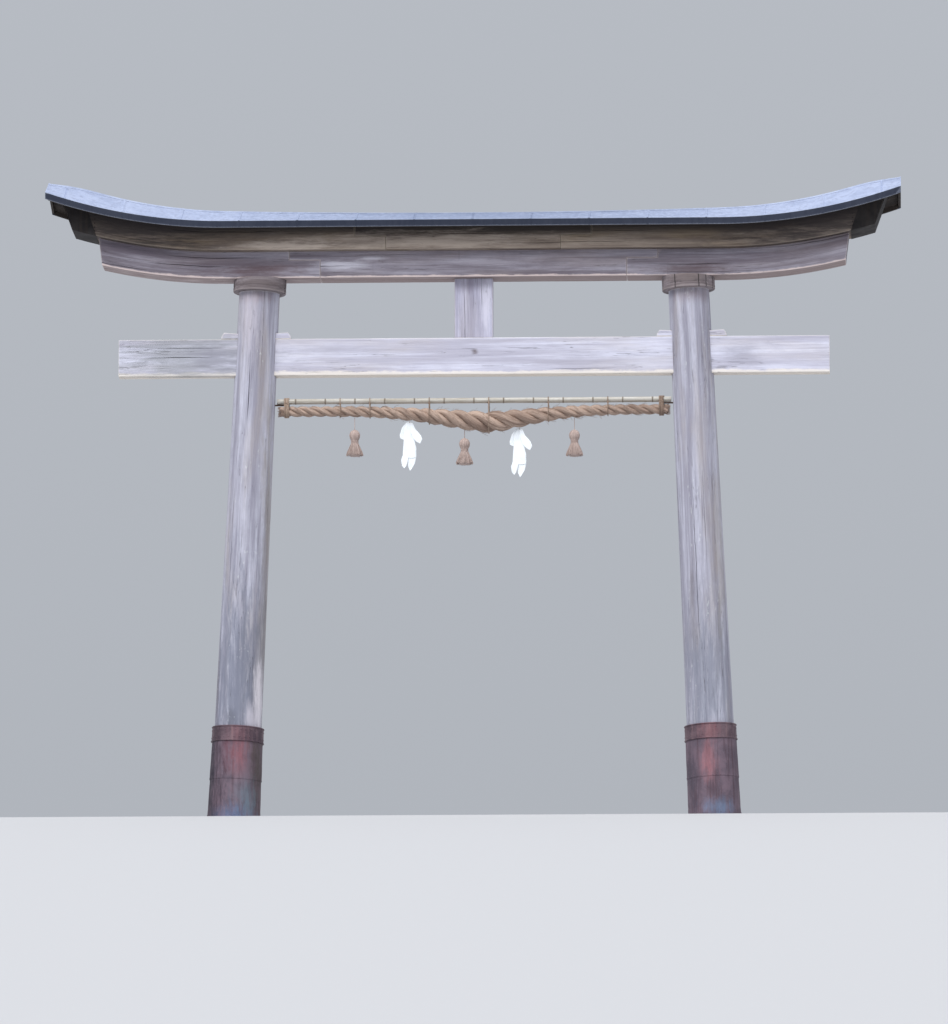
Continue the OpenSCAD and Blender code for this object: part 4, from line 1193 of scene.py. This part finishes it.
def add_bamboo_pole():
    """Culm with a ridged joint every BAMBOO_JOINT, a bud and a shallow flute on alternate sides."""
    plain = BAMBOO_JOINT / 2
    count = int((POLE_HALF - plain) / BAMBOO_JOINT)
    near = (-0.030, -0.014, -0.008, -0.005, -0.003, 0.0, 0.003, 0.005, 0.008, 0.014, 0.030)
    between = np.arange(0.06, 0.26, 0.035)
    places = [i * BAMBOO_JOINT + d for i in range(-count, count + 1) for d in near]
    places += [i * BAMBOO_JOINT + d for i in range(-count - 1, count + 1) for d in between]
    places = sorted(p for p in places if abs(p) < POLE_HALF - 0.01)
    places = [-POLE_HALF, -POLE_HALF + 0.0006, -POLE_HALF + 0.003, *places,
              POLE_HALF - 0.003, POLE_HALF - 0.0006, POLE_HALF]
    bm = bmesh.new()
    grain, edge, shade = new_layers(bm, "grain", "edge", "shade")

    def place(v, along, turn):
        i = round(along * (len(places) - 1))
        x, angle = places[i], turn * tau
        joint = round(x / BAMBOO_JOINT)
        off = x - joint * BAMBOO_JOINT
        side = pi * (joint % 2) + 0.6
        r = POLE_R - 0.0008
        if abs(joint) <= count:
            toward = max(0, cos(angle - side))
            ridges = 0.0034 * exp(-((abs(off) - 0.0045) / 0.0025) ** 2)
            crease = 0.0006 * exp(-(off / 0.0015) ** 2)
            bud = 0.004 * toward ** 30 * exp(-((off - 0.008) / 0.007) ** 2)
            flute = 0.0026 * toward ** 6 * max(0, 1 - off / 0.2) * (0.012 < off)
            r += ridges - crease + bud - flute
        if i in (0, len(places) - 1):
            r = POLE_R - 0.006
        elif i in (1, len(places) - 2):
            r = POLE_R - 0.0022
        wobble = Vector((0, 0.0015 * sin(2.1 * x), 0.0007 * sin(3.7 * x + 1)))
        v[grain] = Vector((x, r * cos(angle), r * sin(angle)))
        v[edge] = abs(off) if abs(joint) <= count else 1
        v[shade] = 0.5 + 0.5 * wave((joint + 0.5 * (off > 0), 0, 0), 0.7, 3)
        return Vector((x, r * cos(angle), POLE_Z + r * sin(angle))) + wobble

    skin(bm, len(places) - 1, 32, place)
    close_holes(bm)
    make("bamboo_pole_culm", bm, BAMBOO, "bamboo", "bamboo_pole")


def wound(bm, path, radii, sides, plies=0, lay=0.03, depth=0.16, shade_value=None):
    """Round cord or stalk along a path. Its plies show as ridges that go round it once every lay."""
    part = bmesh.new()
    grain, shade = new_layers(part, "grain", "shade")
    last = len(path) - 1
    run = [0.0]
    for a, b in zip(path, path[1:]):
        run.append(run[-1] + (b - a).length)
    tangents = [(path[min(i + 1, last)] - path[max(i - 1, 0)]).normalized() for i in range(last + 1)]
    normals = [tangents[0].orthogonal().normalized()]
    for a, b in zip(tangents, tangents[1:]):
        normals.append((a.rotation_difference(b) @ normals[-1]).normalized())
    value = random.random() if shade_value is None else shade_value
    start = random.uniform(0, 50)

    def place(v, along, turn):
        i = round(along * last)
        angle = turn * tau
        r = radii[i] if isinstance(radii, list) else radii
        if plies:
            r *= 1 + depth * cos(plies * (angle - tau * run[i] / lay))
        v[grain] = Vector((run[i] + start, 0.02 * cos(angle) + start, 0.02 * sin(angle)))
        v[shade] = value
        out = normals[i] * cos(angle) + tangents[i].cross(normals[i]) * sin(angle)
        return path[i] + out * r

    skin(part, last, sides, place)
    close_holes(part)
    add_copies(bm, part, [Matrix.Identity(4)])


def make_straw(name, bm, slot, *nodes):
    """Finished piece of straw in place of these nodes."""
    outwards(bm)
    make(name, bm, STRAW[slot], slot, *nodes, smooth=60)


def rope_bell(x):
    """How much the rope sags and swells: 1 at its lowest place, and 0 at both ends."""
    off = x - ROPE_LOW_X
    reach = ROPE_HALF - copysign(ROPE_LOW_X, off)
    return ((1 + cos(pi * min(1, abs(off) / reach) ** 0.75)) / 2) ** 2


def rope_z(x):
    return ROPE_END_Z - ROPE_SAG * rope_bell(x)


def rope_r(x):
    return ROPE_END_R + (ROPE_MID_R - ROPE_END_R) * rope_bell(x)


def hang_x(k):
    """Place of a hanging piece, counted from the middle tassel."""
    return k * HANG_STEP - HANG_LEFT


def add_rope():
    """Three straw strands laid up right over left, thick in the middle, with loose straws all along."""
    strands = 3
    strand_out, strand_r = 0.50, 0.455
    steps = 330
    loose_straws, end_straws = 420, 90
    end_lay, middle_lay = 0.36, 0.58
    end_x = ROPE_HALF - 0.012
    xs = [end_x * (2 * i / steps - 1) for i in range(steps + 1)]
    turn = [0.0]
    for a, b in zip(xs, xs[1:]):
        bell = rope_bell((a + b) / 2)
        turn.append(turn[-1] + tau * (b - a) / (end_lay + (middle_lay - end_lay) * bell))
    bm = bmesh.new()
    paths = []
    for k in range(strands):
        path, radii = [], []
        for i, x in enumerate(xs):
            r = rope_r(x)
            angle = turn[i] + tau * k / strands + 0.9
            out = strand_out * r * (1 + 0.03 * wave((x, k, 0), 0.2, 3))
            path.append(Vector((x, -out * cos(angle), rope_z(x) - out * sin(angle))))
            radii.append(r * (strand_r + 0.018 * wave((x, k, 5), 0.12, 9)))
        paths.append((path, radii))
        wound(bm, path, radii, sides=30, plies=11, lay=-0.85, depth=0.05, shade_value=0.72 + 0.1 * k)
    for _ in range(loose_straws):
        path, radii = random.choice(paths)
        i = random.randint(6, steps - 26)
        n = random.randint(4, 14)
        spin = Matrix.Rotation(random.uniform(-0.9, 0.9), 3, "X")
        lift = random.uniform(0.0, 0.020) if random.random() < 0.45 else 0.001
        stalk = []
        for j in range(6):
            at = i + round(n * j / 5)
            middle = Vector((xs[at], 0, rope_z(xs[at])))
            rim = spin @ (path[at] - middle - X * (path[at].x - middle.x)).normalized()
            base = path[at] + rim * (radii[at] + 0.0006)
            stalk.append(base + lift * (rim * 2 * (j / 5) ** 2 - Z * 0.15 * (j / 5)))
        wound(bm, stalk, radii=0.0013, sides=4, shade_value=random.random())
    for end in (-1, 1):
        for _ in range(end_straws):
            angle = random.uniform(0, tau)
            out = ROPE_END_R * 0.9 * sqrt(random.random())
            x0 = end * (end_x - 0.02)
            spread_out = random.uniform(0.95, 1.25)
            tip = end * (ROPE_HALF + random.uniform(-0.004, 0.022))
            rim = Vector((0, cos(angle), sin(angle)))
            stalk = []
            for share in (0, 1 / 3, 2 / 3, 1):
                centre = Vector((x0 + (tip - x0) * share, 0, rope_z(x0)))
                stalk.append(centre + rim * out * (1 + (spread_out - 1) * share))
            wound(bm, stalk, radii=0.0022, sides=4, shade_value=random.random())
    make_straw("straw_rope_laid", bm, "rope_straw", "straw_rope")


def belt(x, gap, turns, width):
    """Path of a cord wound round the pole and the rope, in turns side by side along x."""
    r_high, z_high = POLE_R + gap, POLE_Z
    r_low, z_low = rope_r(x) + gap, rope_z(x)
    tilt = asin((r_low - r_high) / (z_high - z_low))
    around = []
    for r, z, start, sweep in (
        (r_high, z_high, tilt, pi - 2 * tilt), (r_low, z_low, pi - tilt, pi + 2 * tilt)
    ):
        for a in np.linspace(start, start + sweep, 17):
            around.append(Vector((0, r * cos(a), z + r * sin(a))))
    step = 0.012
    full = []
    for a, b in zip(around, around[1:] + around[:1]):
        parts = max(1, round((b - a).length / step))
        full += [a.lerp(b, j / parts) for j in range(parts)]
    path = []
    total = round(len(full) * turns)
    for i in range(total):
        path.append(full[i % len(full)] + X * (x + width * (i / (total - 1) - 0.5)))
    return path


def knot(bm, centre, size, radius):
    """Small overhand knot in the plane of the front."""
    steps = 48
    path = []
    for i in range(steps + 1):
        t = tau * i / steps
        x = (sin(t) + 2 * sin(2 * t)) / 3
        z = (cos(t) - 2 * cos(2 * t)) / 3
        path.append(centre + size * Vector((x, -sin(3 * t) / 3, z)))
    wound(bm, path, radius, sides=8, plies=2, lay=0.018)


def loose_ends(bm, top, count, length, radius):
    """Frayed ends of a straw cord below its knot."""
    for _ in range(count):
        lean_x, lean_y = random.uniform(-0.35, 0.35), random.uniform(-0.4, 0.05)
        reach = length * random.uniform(0.5, 1.0)
        path = [
            top + reach * Vector((lean_x * t, lean_y * t, -t ** 0.8)) for t in (0, 0.25, 0.5, 0.75, 1)
        ]
        wound(bm, path, radius, sides=4)


def add_ties():
    """Six straw ties that hang the rope from the pole, and the lashing round each of its ends."""
    bm = bmesh.new()
    for k in range(6):
        x = (round(hang_x(k - 2.5) / BAMBOO_JOINT - 0.5) + 0.5) * BAMBOO_JOINT
        cord = belt(x, gap=0.0042, turns=2.04, width=TIE_W / 2)
        wound(bm, cord, radii=0.0033, sides=9, plies=2, lay=0.020)
        front = Vector((x, -POLE_R - 0.010, POLE_Z - 0.032))
        knot(bm, front, size=0.012, radius=0.0032)
        loose_ends(bm, front + Vector((0.004, -0.004, -0.008)), count=9, length=0.055, radius=0.0010)
    make_straw("rope_ties_wound", bm, "lashing_straw", "rope_ties")
    for side, hand in (("left", -1), ("right", 1)):
        x = hand * (ROPE_HALF - 1.2 * END_LASHING_W)
        bm = bmesh.new()
        cord = belt(x, gap=0.0055, turns=6.3, width=END_LASHING_W - 0.011)
        wound(bm, cord, radii=0.0050, sides=9, plies=3, lay=0.030)
        front = Vector((x, -POLE_R - 0.016, POLE_Z - 0.03))
        knot(bm, front, size=0.015, radius=0.0045)
        loose_ends(bm, front + Vector((0, -0.006, -0.010)), count=16, length=0.075, radius=0.0012)
        make_straw(side + "_pole_lashing_wound", bm, "lashing_straw", side + "_pole_lashing")


def add_tassel(node, x):
    """Straw tassel on its string: a bound head and a skirt of straws of uneven length."""
    half_w, height = 0.093, 0.272
    waist_down, waist_r = 0.46, 0.385 * half_w
    straws = 230
    cords, cord_step = 4, 0.00675
    outline = [
        (0.0, 0.20), (0.02, 0.34), (0.08, 0.50), (0.18, 0.60), (0.28, 0.56), (0.38, 0.42), (0.46, 0.36),
        (0.54, 0.44), (0.68, 0.62), (0.86, 0.86), (0.985, 0.97),
    ]
    top = Vector((x, 0, rope_z(x) - TASSEL_DROP))
    string_l = TASSEL_DROP - rope_r(x) - SEAT
    bm = bmesh.new()
    string = [top + Z * (string_l * (1 - i / 24)) - Z * 0.002 for i in range(25)]
    wound(bm, string, radii=0.0031, sides=9, plies=2, lay=0.022, shade_value=0.4)
    middle = bmesh.new()
    grain, shade = new_layers(middle, "grain", "shade")

    def core(v, along, turn):
        down, out = outline[round(along * (len(outline) - 1))]
        angle = turn * tau
        v[grain] = Vector((down * height, 0.3 * cos(angle), 0.3 * sin(angle)))
        v[shade] = 0.25
        r = out * half_w * 0.9 if along < 1 else 0.55 * half_w
        return top + on_circle(r, angle, -down * height)

    skin(middle, len(outline) - 1, 32, core)
    close_holes(middle)
    add_copies(bm, middle, [Matrix.Identity(4)])
    for i in range(straws):
        angle = tau * (i + random.uniform(-0.4, 0.4)) / straws
        inside = random.uniform(0.86, 0.985)
        reach = random.uniform(0.93, 1.0)
        drift = random.uniform(-0.12, 0.12)
        path = []
        for down, out in outline:
            a = angle + drift * max(0, down - waist_down)
            r = out * half_w * (inside if down > waist_down else 0.975)
            path.append(top + on_circle(r, a, -down * reach * height))
        wound(bm, path, radii=0.0017, sides=4)
    for i in range(cords):
        waist = top - Z * (height * waist_down - cord_step * (i - (cords - 1) / 2))
        ring = [waist + on_circle(waist_r, a, 0.0005 * sin(a)) for a in np.linspace(0, tau, 33)]
        wound(bm, ring, radii=0.0036, sides=8, plies=2, lay=0.016, shade_value=0.2)
    knot(bm, top - Z * 0.004, size=0.013, radius=0.0036)
    make_straw(node + "_bound", bm, "tassel_straw", node)


def add_streamer(node, x):
    """Paper cut and folded to a short wing on the left, a longer one on the right and two pointed tails."""
    width, length = 0.146, 0.515
    top = Vector((x, 0, rope_z(x) - rope_r(x) - SEAT))
    # Rows of each panel from the top down: the left and the right point as parts of the width and the
    # length, and how far back the row lies in millimetres
    panels = (
        ((-0.20, 0.020, 0.10, 0.020, 0), (-0.54, 0.13, 0.05, 0.15, 1), (-0.70, 0.28, -0.12, 0.29, 3),
         (-0.67, 0.34, -0.28, 0.36, 4), (-0.52, 0.36, -0.40, 0.375, 4)),
        ((-0.18, 0.018, 0.15, 0.020, -3), (-0.40, 0.17, 0.38, 0.17, -3), (-0.42, 0.40, 0.36, 0.42, -5),
         (-0.46, 0.56, 0.47, 0.54, -6), (-0.49, 0.70, 0.48, 0.68, -4), (-0.47, 0.76, 0.47, 0.74, -3)),
        ((-0.02, 0.03, 0.18, 0.03, -6), (0.06, 0.22, 0.42, 0.17, -8), (0.26, 0.36, 0.62, 0.23, -12),
         (0.52, 0.43, 0.79, 0.29, -15), (0.74, 0.462, 0.90, 0.37, -14)),
        ((-0.49, 0.70, -0.06, 0.72, -7), (-0.60, 0.79, -0.14, 0.82, -10), (-0.54, 0.90, -0.22, 0.90, -9),
         (-0.42, 0.945, -0.36, 0.95, -7)),
        ((-0.16, 0.70, 0.48, 0.68, -1), (-0.15, 0.82, 0.43, 0.79, 1), (-0.10, 0.92, 0.34, 0.87, 3),
         (0.00, 0.985, 0.16, 0.95, 4), (0.02, 1.0, 0.07, 0.99, 4)),
    )
    bm = bmesh.new()
    for rows in panels:
        def place(_, along, across):
            at = along * (len(rows) - 1)
            i = min(int(at), len(rows) - 2)
            a, b = rows[i], rows[i + 1]
            left_x, left_z, right_x, right_z, back = (p + (q - p) * (at - i) for p, q in zip(a, b))
            u = left_x + (right_x - left_x) * across
            down = left_z + (right_z - left_z) * across
            curl = 0.004 * sin(pi * across) + 0.003 * wave((u, down * 5, x), 0.5)
            return top + Vector((u * width, back / 1000 + curl, -down * length))
        skin(bm, 6 * (len(rows) - 1), 8, place, loop=False)
    area = sum(f.calc_area() for f in bm.faces)
    piece = make(node + "_folded", bm, PAPER, "streamer_paper", node, smooth=60)
    thick = piece.modifiers.new("paper", "SOLIDIFY")
    thick.thickness = 0.0007
    thick.offset = 0
    bm = bmesh.new()
    string = [top - Z * (0.05 * length * i / 8) for i in range(9)]
    wound(bm, string, radii=0.0030, sides=8, plies=2, lay=0.018)
    make_straw(node + "_string", bm, "tassel_straw")


add_camera()
add_floor()
add_light()
add_beams()
for side in ("left", "right"):
    add_column(side)
    add_foot_wrap(side)
    add_wrap_band(side)
    add_cap_ring(side)
    add_end_cap(side)
    rework(
        side + "_pole_nail", "forged", NAIL_IRON, "nail_iron", arris=0.002, cell=0.012, wear=0.0012,
        seed=73.0,
    )
    rework(
        side + "_barge_board", "worked", DECK_TIMBER, "edge_board_timber", arris=0.003, cell=0.05,
        seed=75.0,
    )
add_roof_boards()
add_roof_metal()
add_bamboo_pole()
add_rope()
add_ties()
for k, node in ((-2, "left_tassel"), (0, "middle_tassel"), (2, "right_tassel")):
    add_tassel(node, hang_x(k))
for k, node in ((-1, "left_streamer"), (1, "right_streamer")):
    add_streamer(node, hang_x(k))
